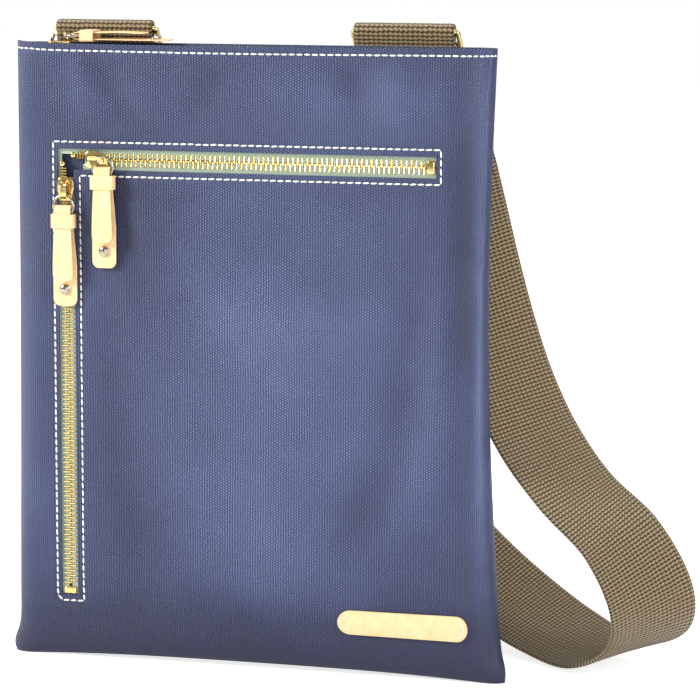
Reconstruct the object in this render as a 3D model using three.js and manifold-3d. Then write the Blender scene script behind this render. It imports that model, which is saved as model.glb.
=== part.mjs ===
// A flat two-panel messenger bag with an L-shaped zipped front pocket, a zipped top and a webbing strap.
// Millimetres, +Z up, +X to the right as seen from the front, front face toward -Y.
// The origin is the middle of the bag's base, on the surface that the bag stands on.
import * as THREE from 'three';
import { mergeVertices } from 'three/addons/utils/BufferGeometryUtils.js';
import Module from 'manifold-3d';

const wasm = await Module();
wasm.setup();

// ---- Driving dimensions ---------------------------------------------------------------------
const HEIGHT = 306;            // top hem above the base
const HALF_TOP = 119.5;        // half width at the top hem
const HALF_MID = 117.5;        // half width where the sides pull in
const HALF_BASE = 124;         // half width at the bottom corners
const DEPTH_TOP = 7.5;         // front face to the middle plane at the top hem
const DEPTH_LOW = 11.5;        // the same just above the bottom curve
const LOW = 14;                // height at which the bottom curve begins
const SOLE = 4;                // half depth of the flat strip that the bag stands on
const WALL = 1.4;              // one layer of coated canvas with its seam allowance
const GAP = 0.3;               // air left between neighbouring pieces
const SIDE_R = 12;             // how far in from the side seam a panel begins to turn
const ZIP_W = 6.6;             // closed chain width of a number 5 zip
const CHAIN_T = 2.2;           // thickness of the teeth
const POST_GAP = 1.4;          // space between the two chains, where the slider's post runs
const TAPE_T = 0.6;            // zip tape thickness
const WEB_W = 50;              // strap webbing width
const WEB_T = 1.9;             // strap webbing thickness
const RING_WIRE = 2.4;         // rectangular ring bar
const TAB_X = { left: -79, right: 71.5 };

// The front face is a plane that leans back a little from the wide base to the thin top hem.
const LEAN = Math.atan2(DEPTH_LOW - DEPTH_TOP, HEIGHT - LOW);
const FACE_AT_FLOOR = DEPTH_LOW + LOW * Math.tan(LEAN);

// Front pocket: a horizontal zip and a vertical zip that meet at the upper left corner.
const POCKET = { left: -98, right: 91.6, top: 255, inner: -89.4, under: 244.8, bottom: 32.8 };
const ZIP_Z = 249.9;           // centre line of the horizontal zip
const ZIP_X = -93.7;           // centre line of the vertical zip
const TAPE_REACH = 12;         // tape from a zip's centre line to its hidden edge
const LABEL = { x: 76.8, z: 27.4, length: 65, width: 13, thick: 1.5 };

// ---- Materials ------------------------------------------------------------------------------
const finish = (color, roughness, metalness = 0) =>
  new THREE.MeshStandardMaterial({ color, roughness, metalness });
const CANVAS = () => finish(0x2b3768, 0.5);
const LINING = () => finish(0x8d8f7c, 0.9);
const TAPE = () => finish(0x9aab8c, 0.9);
const BRASS = () => finish(0xd9b458, 0.28, 1);
const NICKEL = () => finish(0xcfcfc8, 0.25, 1);
const LEATHER = () => finish(0xf0cf9c, 0.6);
const WEBBING = () => finish(0x7a6a4b, 0.92);

// ---- Helpers --------------------------------------------------------------------------------
const bag = new THREE.Group();

function add(name, geometry, material, parent = bag) {
  const mesh = new THREE.Mesh(geometry, material);
  mesh.name = name;
  parent.add(mesh);
  return mesh;
}

// A closed geometry becomes a solid for cutting and joining, and comes back as a geometry.
function solid(geometry) {
  const bare = geometry.clone();
  bare.deleteAttribute('normal');
  bare.deleteAttribute('uv');
  const merged = mergeVertices(bare, 1e-4);
  return new wasm.Manifold(new wasm.Mesh({
    numProp: 3,
    vertProperties: new Float32Array(merged.attributes.position.array),
    triVerts: new Uint32Array(merged.index.array),
  }));
}

function fromSolid(shape) {
  const mesh = shape.getMesh();
  const geometry = new THREE.BufferGeometry();
  geometry.setAttribute('position', new THREE.BufferAttribute(mesh.vertProperties, 3));
  geometry.setIndex(new THREE.BufferAttribute(mesh.triVerts, 1));
  return geometry;
}

const join = (...parts) => fromSolid(parts.map(solid).reduce((all, next) => all.add(next)));
const cut = (whole, ...tools) =>
  fromSolid(tools.map(solid).reduce((rest, tool) => rest.subtract(tool), solid(whole)));

// A box given by its lowest and highest corners.
function block(x0, x1, y0, y1, z0, z1) {
  const geometry = new THREE.BoxGeometry(x1 - x0, y1 - y0, z1 - z0);
  return geometry.translate((x0 + x1) / 2, (y0 + y1) / 2, (z0 + z1) / 2);
}

// A flat shape in X and Z with a thickness along Y, from y0 to y1.
function plate(shape, y0, y1, curveSegments = 8) {
  const geometry = new THREE.ExtrudeGeometry(shape, { depth: y1 - y0, bevelEnabled: false, curveSegments });
  return geometry.rotateX(Math.PI / 2).translate(0, y1, 0);
}

function polygon(points) {
  return new THREE.Shape(points.map(([x, z]) => new THREE.Vector2(x, z)));
}

// A strip with round ends, along X, centred on x and z.
function stadium(x, z, length, width) {
  const r = width / 2;
  const reach = length / 2 - r;
  const shape = new THREE.Shape();
  shape.absarc(x + reach, z, r, -Math.PI / 2, Math.PI / 2);
  shape.absarc(x - reach, z, r, Math.PI / 2, Math.PI * 1.5);
  return shape;
}

// A ring of round wire lying in the XZ plane.
function wireRing(outer, wire, around = 20, section = 8) {
  const centre = (outer - wire) / 2;
  const points = [];
  for (let i = 0; i <= section; i += 1) {
    const a = (i / section) * Math.PI * 2;
    points.push(new THREE.Vector2(centre + (wire / 2) * Math.cos(a), (wire / 2) * Math.sin(a)));
  }
  return new THREE.LatheGeometry(points, around);
}

// ---- The two canvas panels ------------------------------------------------------------------
// Half width of the bag at height z: pulled in at mid height and full at the base.
function halfWidth(z) {
  const t = THREE.MathUtils.clamp(z / HEIGHT, 0, 1);
  const straight = THREE.MathUtils.lerp(HALF_BASE, HALF_TOP, t);
  const pull = (HALF_BASE + HALF_TOP) / 2 - HALF_MID;
  return straight - pull * Math.sin(Math.PI * t);
}

// Vertical profile of a panel: down the face, round the bottom curve and in under the base.
function profile(inset) {
  const radius = DEPTH_LOW - SOLE;
  const rows = 8;
  const steps = 4;
  const points = [];
  for (let i = 0; i <= rows; i += 1) {
    const z = THREE.MathUtils.lerp(HEIGHT, LOW, i / rows);
    points.push([THREE.MathUtils.lerp(DEPTH_TOP, DEPTH_LOW, i / rows) - inset, z]);
  }
  for (let i = 1; i <= steps; i += 1) {
    const a = (i / steps) * (Math.PI / 2);
    points.push([SOLE + (radius - inset) * Math.cos(a), LOW - (LOW - inset) * Math.sin(a)]);
  }
  points.push([GAP / 2, inset]);
  return points;
}

// Stations across a panel: angles round each side turn, 90 degrees at the seam.
const SIDE_TURN = [90, 68, 45, 22, 0].map(THREE.MathUtils.degToRad);
const ACROSS = [
  ...SIDE_TURN.map((a) => [-1, a]),
  ...SIDE_TURN.slice().reverse().map((a) => [1, a]),
];

// The front panel. The back panel is the same piece turned round.
function panel() {
  const faces = { outer: profile(0), inner: profile(WALL) };
  const rows = faces.outer.length - 1;
  const columns = ACROSS.length - 1;
  const geometry = new THREE.BoxGeometry(1, 1, 1, columns, 1, rows);
  const position = geometry.attributes.position;
  for (let i = 0; i < position.count; i += 1) {
    const column = Math.round((position.getX(i) + 0.5) * columns);
    const row = Math.round((0.5 - position.getZ(i)) * rows);
    const isOuter = position.getY(i) < 0;
    const inset = isOuter ? 0 : WALL;
    const [depth, z] = (isOuter ? faces.outer : faces.inner)[row];
    const [sign, angle] = ACROSS[column];
    const half = halfWidth(z) - inset;
    const x = sign * (half - SIDE_R + SIDE_R * Math.sin(angle));
    const y = GAP / 2 + (depth - GAP / 2) * Math.cos(angle);
    position.setXYZ(i, x, -y, z);
  }
  return geometry;
}

// Everything on the front face is built upright with the face at y = 0, then leaned back with it.
const face = new THREE.Group();
face.position.y = -FACE_AT_FLOOR;
face.rotation.x = -LEAN;
bag.add(face);

const pocketMouth = polygon([
  [POCKET.left, POCKET.top], [POCKET.right, POCKET.top], [POCKET.right, POCKET.under],
  [POCKET.inner, POCKET.under], [POCKET.inner, POCKET.bottom], [POCKET.left, POCKET.bottom],
]);
const CUT_DEPTH = 6;
const leanBack = (geometry) => geometry.rotateX(-LEAN).translate(0, -FACE_AT_FLOOR, 0);
const mouthCutter = leanBack(plate(pocketMouth, -CUT_DEPTH, CUT_DEPTH));
add('front_panel', cut(panel(), mouthCutter), CANVAS());
add('back_panel', panel().rotateZ(Math.PI), CANVAS());

// ---- Linings inside -------------------------------------------------------------------------
// Flat sheets behind the faces, each from y0 to y1 behind the outside of the canvas.
const POCKET_LINING = { top: 268, y0: 7.0, y1: 7.5 };
const MAIN_LINING = { top: 284, y0: 7.9, y1: 8.4 };
const BACK_LINING = { top: 284, y0: 1.8, y1: 2.4 };
function lining({ top, y0, y1 }) {
  return plate(polygon([[-108, 16], [108, 16], [106, top], [-106, top]]), y0, y1);
}
add('front_pocket_lining', lining(POCKET_LINING), LINING(), face);
add('main_lining_front', lining(MAIN_LINING), LINING(), face);
add('main_lining_back', leanBack(lining(BACK_LINING)).rotateZ(Math.PI), LINING());

// ---- Zips -----------------------------------------------------------------------------------
const TAPE_Y = WALL + GAP;                 // front of a pocket tape, just behind the canvas
const CHAIN_Y = TAPE_Y + TAPE_T / 2 - CHAIN_T / 2;
const TOP_STOP = { length: 2.6, proud: 0.4 };
const BOTTOM_STOP = { length: 4, proud: 0.3 };

// One zip built along +X with its centre line on the X axis, its face toward -Y.
// The two tapes and the two rows of teeth are mirror images across the centre line. One row runs
// on past the slider to its top stop, and the other turns away behind the slider.
function zip(prefix, parent, { from, to, farFrom, farIsSecond = false, tapes, reach, names }) {
  [1, -1].forEach((up, index) => {
    const half = names[index];
    const inner = ZIP_W / 2 + GAP;
    const [a, b] = [up * inner, up * reach].sort((p, q) => p - q);
    const [tapeFrom, tapeTo] = tapes[index];
    add(`${prefix}_tape_${half}`, block(tapeFrom, tapeTo, TAPE_Y, TAPE_Y + TAPE_T, a, b), TAPE(), parent);
    const isFar = farIsSecond ? index === 1 : index === 0;
    const start = isFar ? farFrom : from;
    const [c, d] = [up * POST_GAP / 2, up * ZIP_W / 2].sort((p, q) => p - q);
    add(`${prefix}_teeth_${half}`, block(start, to, CHAIN_Y, CHAIN_Y + CHAIN_T, c, d), BRASS(), parent);
    if (isFar) {
      const x1 = start - GAP;
      const stop = block(x1 - TOP_STOP.length, x1, CHAIN_Y - TOP_STOP.proud, CHAIN_Y + CHAIN_T, c, d);
      add(`${prefix}_top_stop`, stop, BRASS(), parent);
    }
  });
  const x0 = to + GAP;
  const y0 = CHAIN_Y - BOTTOM_STOP.proud;
  const stop = block(x0, x0 + BOTTOM_STOP.length, y0, CHAIN_Y + CHAIN_T, -ZIP_W / 2, ZIP_W / 2);
  add(`${prefix}_bottom_stop`, stop, BRASS(), parent);
}

// A slider: a top plate and a back plate joined by a post between the teeth, with a bridge on top.
const SLIDER = { length: 11.5, narrow: 6.4, frontWide: 8.6, backWide: 8.0, frontT: 1.3, backT: 1.2 };
const BRIDGE = { clear: 4.5, reach: 4.9, bar: 1.2, half: 1.1 };   // clear is the room for the ring's wire
const ROOT = 0.5;              // how far the post and the bridge run into the plates
function slider() {
  const front = CHAIN_Y - GAP - SLIDER.frontT;
  const back = CHAIN_Y + CHAIN_T + GAP;
  const end = SLIDER.length / 2;
  const outline = (wide) => polygon([
    [-end, -wide / 2], [0, -wide / 2], [end, -SLIDER.narrow / 2],
    [end, SLIDER.narrow / 2], [0, wide / 2], [-end, wide / 2],
  ]);
  const post = POST_GAP / 2 - GAP;
  const { clear, reach, bar, half } = BRIDGE;
  const under = front - clear;
  return join(
    plate(outline(SLIDER.frontWide), front, front + SLIDER.frontT),
    plate(outline(SLIDER.backWide), back, back + SLIDER.backT),
    block(-end, 0, front + ROOT, back + ROOT, -post, post),
    block(-reach, bar - reach, under, front + ROOT, -half, half),
    block(reach - bar, reach, under, front + ROOT, -half, half),
    block(-reach, reach, under - bar, under, -half, half),
  );
}

// A leather pull hangs toward -Z from a wire at its origin: a strip folded loosely over the wire,
// a narrow front layer and a longer back layer, a keeper band round both, and a rivet.
const PULL = { wire: 1.3, leather: 1.0, up: 3.6, back: 44.2, front: 31.6, corner: 3.4 };
const PULL_W = { back: 12.2, front: 10.4, fold: 8.2 };
const LOOSE = 0.2;                                    // air between the wire and the leather
const FOLD_IN = PULL.wire / 2 + LOOSE;                // inner radius of the fold round the wire
const FOLD_OUT = FOLD_IN + PULL.leather;
const KEEPER = { from: 1.1, to: -5.7, half: 6.5, wall: 0.7, air: 0.25 };
const RIVET = { z: -35.9, hole: 1.3, shank: 1.0, head: 2.4, dome: 1.2, back: 2.0, seat: 0.25, washer: 0.4 };
const LAP = 0.5;                                      // how far a layer runs up into the fold

function strip(width, length) {
  const r = PULL.corner;
  const shape = new THREE.Shape();
  shape.moveTo(-PULL_W.fold / 2, -LAP);
  shape.lineTo(-width / 2, -length + r);
  shape.absarc(-width / 2 + r, -length + r, r, Math.PI, Math.PI * 1.5);
  shape.absarc(width / 2 - r, -length + r, r, Math.PI * 1.5, Math.PI * 2);
  shape.lineTo(PULL_W.fold / 2, -LAP);
  return shape;
}

function foldedStrip() {
  const arch = new THREE.Shape();
  const foot = -2 * LAP;
  arch.moveTo(-FOLD_OUT, foot);
  arch.lineTo(-FOLD_OUT, PULL.up);
  arch.absarc(0, PULL.up, FOLD_OUT, Math.PI, 0, true);
  arch.lineTo(FOLD_OUT, foot);
  arch.lineTo(FOLD_IN, foot);
  arch.lineTo(FOLD_IN, PULL.up);
  arch.absarc(0, PULL.up, FOLD_IN, 0, Math.PI, false);
  arch.lineTo(-FOLD_IN, foot);
  const width = PULL_W.fold;
  const fold = new THREE.ExtrudeGeometry(arch, { depth: width, bevelEnabled: false, curveSegments: 6 });
  fold.rotateX(Math.PI / 2).rotateZ(Math.PI / 2).translate(-width / 2, 0, 0);
  const front = plate(strip(PULL_W.front, PULL.front), -FOLD_OUT, -FOLD_IN, 4);
  const back = plate(strip(PULL_W.back, PULL.back), FOLD_IN, FOLD_OUT, 4);
  const hole = new THREE.CylinderGeometry(RIVET.hole, RIVET.hole, 6, 10).translate(0, 2, RIVET.z);
  return cut(join(fold, front, back), hole);
}

function keeperBand() {
  const { half, wall, air, from, to } = KEEPER;
  const deep = FOLD_OUT + air;
  const outer = block(-half, half, -deep - wall, deep + wall, to, from);
  const inner = block(-half + wall, half - wall, -deep, deep, to - 1, from + 1);
  return cut(outer, inner);
}

// A domed head in front of the back layer, a shank through it and a washer behind.
function rivet() {
  const { head, dome, shank, back, seat, washer, z } = RIVET;
  const y0 = FOLD_IN - seat;
  const under = -(PULL.leather + 2 * seat);
  const outline = [
    [0, dome], [head * 0.54, dome * 0.83], [head * 0.875, dome * 0.42], [head, 0], [shank, 0],
    [shank, under], [back, under], [back, under - washer], [0, under - washer],
  ];
  const points = outline.map(([r, h]) => new THREE.Vector2(r, h)).reverse();
  return new THREE.LatheGeometry(points, 12).rotateX(Math.PI).translate(0, y0, z);
}

const RING_OUT = 11.5;
const RING_R = (RING_OUT - PULL.wire) / 2;            // radius of the ring's wire centre line
const RING_Y = -3.5;                                  // the ring lies this far in front of the face

// The ring and its pull ride on the slider. at is the ring's centre in the zip's frame, and
// turn is the direction in which the pull hangs, 0 for -Z and -90 degrees for +X.
function pull(prefix, parent, at, turn) {
  const hanger = new THREE.Group();
  hanger.position.set(at[0], RING_Y, at[1]);
  hanger.rotation.y = turn;
  parent.add(hanger);
  add(`${prefix}_pull_ring`, wireRing(RING_OUT, PULL.wire), NICKEL(), hanger);
  const tab = new THREE.Group();
  tab.position.z = -RING_R;
  hanger.add(tab);
  add(`${prefix}_pull_leather`, foldedStrip(), LEATHER(), tab);
  add(`${prefix}_pull_keeper`, keeperBand(), LEATHER(), tab);
  add(`${prefix}_pull_rivet`, rivet(), NICKEL(), tab);
}

// ---- The horizontal pocket zip --------------------------------------------------------------
const across = new THREE.Group();
across.position.z = ZIP_Z;
face.add(across);
const ACROSS_REST = -77.8;     // slider centre when the pocket is closed
zip('top_pocket', across, {
  from: ACROSS_REST, to: 86.7, names: ['upper', 'lower'], farFrom: -88.5,
  tapes: [[-105.7, 98], [-89.7, 98]], reach: TAPE_REACH,
});
const acrossSlider = new THREE.Group();
acrossSlider.position.x = ACROSS_REST;
across.add(acrossSlider);
add('top_pocket_slider', slider(), BRASS(), acrossSlider);
// The ring threads the lengthwise bridge off centre, so that the pull hangs beside it.
const CROSS_RING = [3.3, -1.8];
pull('top_pocket', acrossSlider, CROSS_RING, 0);

// ---- The vertical pocket zip: its frame's +X runs down the face -----------------------------
const down = new THREE.Group();
down.position.x = ZIP_X;
down.rotation.y = Math.PI / 2;
face.add(down);
const DOWN_REST = -235.2;
zip('side_pocket', down, {
  from: DOWN_REST, to: -37.5, names: ['inner', 'outer'], farFrom: -246.0, farIsSecond: true,
  tapes: [[-237.6, -26], [-253.2, -26]], reach: TAPE_REACH,
});
const downSlider = new THREE.Group();
downSlider.position.x = DOWN_REST;
down.add(downSlider);
add('side_pocket_slider', slider(), BRASS(), downSlider);
const INLINE_RING = [7.8, 0];
pull('side_pocket', downSlider, INLINE_RING, -Math.PI / 2);

// ---- The main zip across the top, face up between the two hems ------------------------------
const top = new THREE.Group();
top.position.z = HEIGHT;
top.rotation.x = -Math.PI / 2;
bag.add(top);
const TOP_REST = -98.4;
zip('main', top, {
  from: TOP_REST, to: 104, names: ['back', 'front'], farFrom: -106,
  tapes: [[-105.5, 105.5], [-105.5, 105.5]], reach: DEPTH_TOP - WALL - GAP,
});
const topSlider = new THREE.Group();
topSlider.position.x = TOP_REST;
top.add(topSlider);
add('main_slider', slider(), BRASS(), topSlider);
pull('main', topSlider, INLINE_RING, -Math.PI / 2);

// ---- Label ----------------------------------------------------------------------------------
const label = plate(stadium(LABEL.x, LABEL.z, LABEL.length, LABEL.width), -LABEL.thick - GAP, -GAP, 6);
add('label', label, LEATHER(), face);

// ---- Strap tabs and rings -------------------------------------------------------------------
const BAR_Y = 11.1;            // upper bar of a ring, behind the top hem
const BAR_Z = 313;
const RING_W = 55.5;           // ring outer width
const RING_DROP = 12.5;        // upper bar to lower bar, centre to centre
const RING_TILT = THREE.MathUtils.degToRad(45);
const LOOP_IN = RING_WIRE * Math.SQRT1_2 + GAP;   // clear of the corners of the square bar
const LOOP_OUT = LOOP_IN + WEB_T;
const LEG_GAP = 0.4;           // between the two legs of a fold once they are sewn flat

// A folded strip of webbing: over the bar at the origin, its two legs drawn together below it.
const CLOSE = -7;              // height below the bar at which the two legs meet
function fold(frontLeg, backLeg, width) {
  const shape = new THREE.Shape();
  shape.moveTo(-LEG_GAP / 2 - WEB_T, -frontLeg);
  shape.lineTo(-LEG_GAP / 2 - WEB_T, CLOSE);
  shape.lineTo(-LOOP_OUT, 0);
  shape.absarc(0, 0, LOOP_OUT, Math.PI, 0, true);
  shape.lineTo(LEG_GAP / 2 + WEB_T, CLOSE);
  shape.lineTo(LEG_GAP / 2 + WEB_T, -backLeg);
  shape.lineTo(LEG_GAP / 2, -backLeg);
  shape.lineTo(LEG_GAP / 2, CLOSE);
  shape.lineTo(LOOP_IN, 0);
  shape.absarc(0, 0, LOOP_IN, 0, Math.PI, false);
  shape.lineTo(-LEG_GAP / 2, CLOSE);
  shape.lineTo(-LEG_GAP / 2, -frontLeg);
  const geometry = new THREE.ExtrudeGeometry(shape, { depth: width, bevelEnabled: false, curveSegments: 8 });
  return geometry.rotateX(Math.PI / 2).rotateZ(Math.PI / 2).translate(-width / 2, 0, 0);
}

function rectangularRing() {
  const half = RING_W / 2;
  const wire = RING_WIRE / 2;
  const shape = polygon([
    [-half, -RING_DROP - wire], [half, -RING_DROP - wire], [half, wire], [-half, wire],
  ]);
  const inner = half - RING_WIRE;
  shape.holes.push(new THREE.Path([
    [-inner, -wire], [inner, -wire], [inner, wire - RING_DROP], [-inner, wire - RING_DROP],
  ].map(([x, z]) => new THREE.Vector2(x, z))));
  return plate(shape, -wire, wire);
}

const TAB = { leg: 38, width: WEB_W - 0.6 };
for (const [side, x] of Object.entries(TAB_X)) {
  const tab = add(`strap_tab_${side}`, fold(TAB.leg, TAB.leg, TAB.width), WEBBING());
  tab.position.set(x, BAR_Y, BAR_Z);
  const ring = add(`strap_ring_${side}`, rectangularRing(), BRASS());
  ring.position.set(x, BAR_Y, BAR_Z);
  ring.rotation.x = RING_TILT;
}

// ---- The strap ------------------------------------------------------------------------------
// Centre of the webbing and the direction across its width, from the right ring round to the left.
const LOWER_Y = BAR_Y + RING_DROP * Math.sin(RING_TILT);
const LOWER_Z = BAR_Z - RING_DROP * Math.cos(RING_TILT);
const BAND_Y = LOWER_Y + LEG_GAP / 2 + WEB_T / 2;
const STRAP_ROUTE = [
  [71.5, BAND_Y, LOWER_Z - 8, 1.00, 0.00, 0.00],
  [75, 22, 281, 0.99, 0.10, 0.06],
  [85.5, 26, 256, 0.95, 0.27, 0.13],
  [92.5, 31, 229, 0.87, 0.43, 0.20],
  [100, 36, 200, 0.77, 0.58, 0.24],
  [109, 38, 170, 0.69, 0.67, 0.26],
  [120, 35, 142, 0.63, 0.73, 0.26],
  [135, 28, 115.5, 0.60, 0.76, 0.25],
  [155, 19, 92.5, 0.57, 0.79, 0.23],
  [179, 13, 71, 0.62, 0.75, 0.21],
  [193, 15, 43, 0.70, 0.69, 0.19],
  [190, 27, 19.5, 0.75, 0.64, 0.14],
  [167, 42, 7.2, 0.76, 0.64, 0.16],
  [138, 62, 12, 0.72, 0.64, 0.23],
  [105, 80, 27, 0.60, 0.68, 0.40],
  [78, 88, 48, 0.53, 0.70, 0.48],
  [53, 90, 72, 0.54, 0.67, 0.51],
  [31, 88, 98, 0.56, 0.63, 0.54],
  [10, 83, 125, 0.60, 0.58, 0.55],
  [-9, 76, 153, 0.65, 0.51, 0.56],
  [-26, 67, 182, 0.71, 0.42, 0.56],
  [-42, 56, 211, 0.80, 0.31, 0.51],
  [-57, 42, 239, 0.89, 0.19, 0.40],
  [-69, 30, 262, 0.96, 0.08, 0.22],
  [-77, 23, 281, 0.99, 0.02, 0.08],
  [-79, BAND_Y, LOWER_Z - 8, 1.00, 0.00, 0.00],
];
const centreLine = new THREE.CatmullRomCurve3(
  STRAP_ROUTE.map(([x, y, z]) => new THREE.Vector3(x, y, z)), false, 'catmullrom', 0.5);
const widthLine = new THREE.CatmullRomCurve3(
  STRAP_ROUTE.map(([, , , x, y, z]) => new THREE.Vector3(x, y, z)), false, 'catmullrom', 0.5);

// A flat band along part of the route, t from 0 to 1. offset moves it along its own normal, toward
// the inside of the strap's loop, and shift moves it across the width.
function band(t0, t1, steps, width, thick, offset = 0, shift = 0) {
  const geometry = new THREE.BoxGeometry(1, 1, 1, steps, 1, 1);
  const position = geometry.attributes.position;
  const point = new THREE.Vector3();
  for (let i = 0; i < position.count; i += 1) {
    const t = THREE.MathUtils.lerp(t0, t1, position.getX(i) + 0.5);
    const along = centreLine.getTangent(t);
    const wide = widthLine.getPoint(t);
    wide.addScaledVector(along, -wide.dot(along)).normalize();
    const normal = new THREE.Vector3().crossVectors(wide, along).normalize();
    point.copy(centreLine.getPoint(t));
    point.addScaledVector(normal, offset + position.getY(i) * thick);
    point.addScaledVector(wide, shift + position.getZ(i) * width);
    position.setXYZ(i, point.x, point.y, point.z);
  }
  return geometry;
}

const STRAP_STEPS = 48;
const BAND_W = WEB_W - 0.8;
const BOTH = WEB_T + LEG_GAP;  // from the middle of one layer of a fold to the middle of the other

// The strap's free end runs from the left ring back down the strap to the adjuster.
const ADJUSTER = { at: 0.868, bar: 3, length: 25, wall: 2, rail: 2.4 };
const STRAP_LENGTH = centreLine.getLength();
const mm = (length) => length / STRAP_LENGTH;
const TAIL_FROM = ADJUSTER.at + mm(ADJUSTER.length / 2 + 1);
const END_LEG = { inside: 14, sewn: 24 };  // legs of the end folds, the sewn one on the right
const endFold = (x, front) => fold(front, END_LEG.inside, BAND_W).translate(x, LOWER_Y, LOWER_Z);
add('strap', join(
  band(0, 1, STRAP_STEPS, BAND_W, WEB_T),
  band(TAIL_FROM, 1, 8, BAND_W, WEB_T, BOTH),
  endFold(TAB_X.right, END_LEG.sewn),
  endFold(TAB_X.left, END_LEG.inside),
), WEBBING());

// Three-bar adjuster: the webbing runs behind its middle bar and in front of its two outer bars.
function adjuster() {
  const { at, bar, length, wall, rail } = ADJUSTER;
  const wide = BAND_W + 2 * (GAP + rail);
  const out = WEB_T / 2 + GAP + wall / 2;
  const across = (centre, side) =>
    band(at + mm(centre - bar / 2), at + mm(centre + bar / 2), 1, wide, wall, side * out);
  const edge = (side) => band(at - mm(length / 2), at + mm(length / 2), 2, rail, 2 * out + wall, 0,
    side * (BAND_W / 2 + GAP + rail / 2));
  const reach = (length - bar) / 2;
  return join(edge(1), edge(-1), across(-reach, -1), across(reach, -1), across(0, 1));
}
add('strap_adjuster', adjuster(), BRASS());

export default bag;
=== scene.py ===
# %% [markdown]
# # A flat messenger bag of coated canvas
#
# The bag is two panels of navy coated canvas, sewn together down the sides and under the base. The
# front has an L-shaped pocket mouth with two brass zips that meet in a corner, a third zip closes
# the top, and a webbing strap hangs behind from two rectangular rings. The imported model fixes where
# each piece sits and how it moves. This lesson makes the surfaces that are seen.

# %% load the fixed frame
import math

import bmesh
import bpy
import numpy as np
from mathutils import Matrix, Vector, noise


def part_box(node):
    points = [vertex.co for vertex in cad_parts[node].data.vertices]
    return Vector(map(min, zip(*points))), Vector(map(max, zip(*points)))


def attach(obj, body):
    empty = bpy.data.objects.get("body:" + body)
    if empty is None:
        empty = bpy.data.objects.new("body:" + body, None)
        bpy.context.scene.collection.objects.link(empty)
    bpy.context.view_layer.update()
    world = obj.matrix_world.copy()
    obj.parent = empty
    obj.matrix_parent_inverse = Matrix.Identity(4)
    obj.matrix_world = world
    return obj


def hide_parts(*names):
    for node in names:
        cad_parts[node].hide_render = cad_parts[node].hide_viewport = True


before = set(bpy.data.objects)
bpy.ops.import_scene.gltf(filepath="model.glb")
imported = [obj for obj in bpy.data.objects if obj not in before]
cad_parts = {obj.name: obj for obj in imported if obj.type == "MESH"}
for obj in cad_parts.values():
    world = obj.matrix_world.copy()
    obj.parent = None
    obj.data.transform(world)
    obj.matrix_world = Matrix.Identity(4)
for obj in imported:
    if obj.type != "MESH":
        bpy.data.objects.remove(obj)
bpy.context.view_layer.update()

MM = 0.001
scene = bpy.context.scene

# %% [markdown]
# ## Camera
#
# The bag is seen a little from its right and from just above, with a long lens that keeps its
# uprights nearly parallel. The camera is placed by the two angles and a distance from a point in
# the middle of the frame, which is easier to change than three coordinates.

# %% camera
VIEW_TURN = math.radians(14.66)
VIEW_RISE = math.radians(9.0)
VIEW_FROM = 1419 * MM
VIEW_AT = Vector((47.45, 0, 160.07)) * MM
LENS = 151.2

camera_data = bpy.data.cameras.new("camera")
camera_data.lens = LENS
camera_data.sensor_width = 36
camera = bpy.data.objects.new("camera", camera_data)
scene.collection.objects.link(camera)
outward = Vector((
    math.sin(VIEW_TURN) * math.cos(VIEW_RISE),
    -math.cos(VIEW_TURN) * math.cos(VIEW_RISE),
    math.sin(VIEW_RISE),
))
camera.location = VIEW_AT + outward * VIEW_FROM
camera.rotation_euler = (-outward).to_track_quat("-Z", "Y").to_euler()
scene.camera = camera
print("camera at", [round(c, 3) for c in camera.location])

# %% [markdown]
# ## Helpers for shader nodes
#
# Every finish is a Principled shader with a few texture nodes. Small helpers keep the recipes
# readable: node adds one node and fills its inputs with numbers or links, calc does one step of
# arithmetic, ramp picks a colour and bump tilts the surface.

# %% shader helpers
def srgb(red, green, blue):
    """A colour given as it looks on screen, 0 to 255, as the linear values that shaders use."""
    def linear(c):
        c = c / 255
        return c / 12.92 if c <= 0.04045 else ((c + 0.055) / 1.055) ** 2.4
    return (linear(red), linear(green), linear(blue), 1.0)


def shader(name, **settings):
    mat = bpy.data.materials.new(name)
    mat.use_nodes = True
    surface = mat.node_tree.nodes["Principled BSDF"]
    for key, value in settings.items():
        surface.inputs[key.replace("_", " ")].default_value = value
    return mat, surface


def fill(mat, socket, value):
    if isinstance(value, bpy.types.NodeSocket):
        mat.node_tree.links.new(value, socket)
    else:
        socket.default_value = value


def node(mat, kind, inputs=None, **settings):
    made = mat.node_tree.nodes.new(kind)
    for key, value in settings.items():
        setattr(made, key, value)
    for key, value in (inputs or {}).items():
        fill(mat, made.inputs[key], value)
    return made


def calc(mat, operation, *values):
    made = node(mat, "ShaderNodeMath", operation=operation)
    for socket, value in zip(made.inputs, values):
        fill(mat, socket, value)
    return made.outputs[0]


def ramp(mat, amount, *stops):
    """Colours along amount: each stop is a position and a colour."""
    made = node(mat, "ShaderNodeValToRGB", {"Fac": amount})
    elements = made.color_ramp.elements
    while len(elements) < len(stops):
        elements.new(0.5)
    for element, (position, colour) in zip(elements, stops):
        element.position = position
        element.color = colour
    return made.outputs["Color"]


def rescale(mat, value, low, high, to_low, to_high):
    made = node(mat, "ShaderNodeMapRange", {
        "Value": value, "From Min": low, "From Max": high, "To Min": to_low, "To Max": to_high})
    return made.outputs["Result"]


def cloth_axes(mat, layer="cloth"):
    """The two directions of a cloth, in millimetres, from its UV map."""
    uv = node(mat, "ShaderNodeUVMap", uv_map=layer).outputs["UV"]
    split = node(mat, "ShaderNodeSeparateXYZ", {"Vector": uv})
    return uv, split.outputs["X"], split.outputs["Y"]


def cloud(mat, vector, scale, detail=2.0, roughness=0.5):
    made = node(mat, "ShaderNodeTexNoise", {
        "Vector": vector, "Scale": scale, "Detail": detail, "Roughness": roughness})
    return made.outputs["Fac"]


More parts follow.
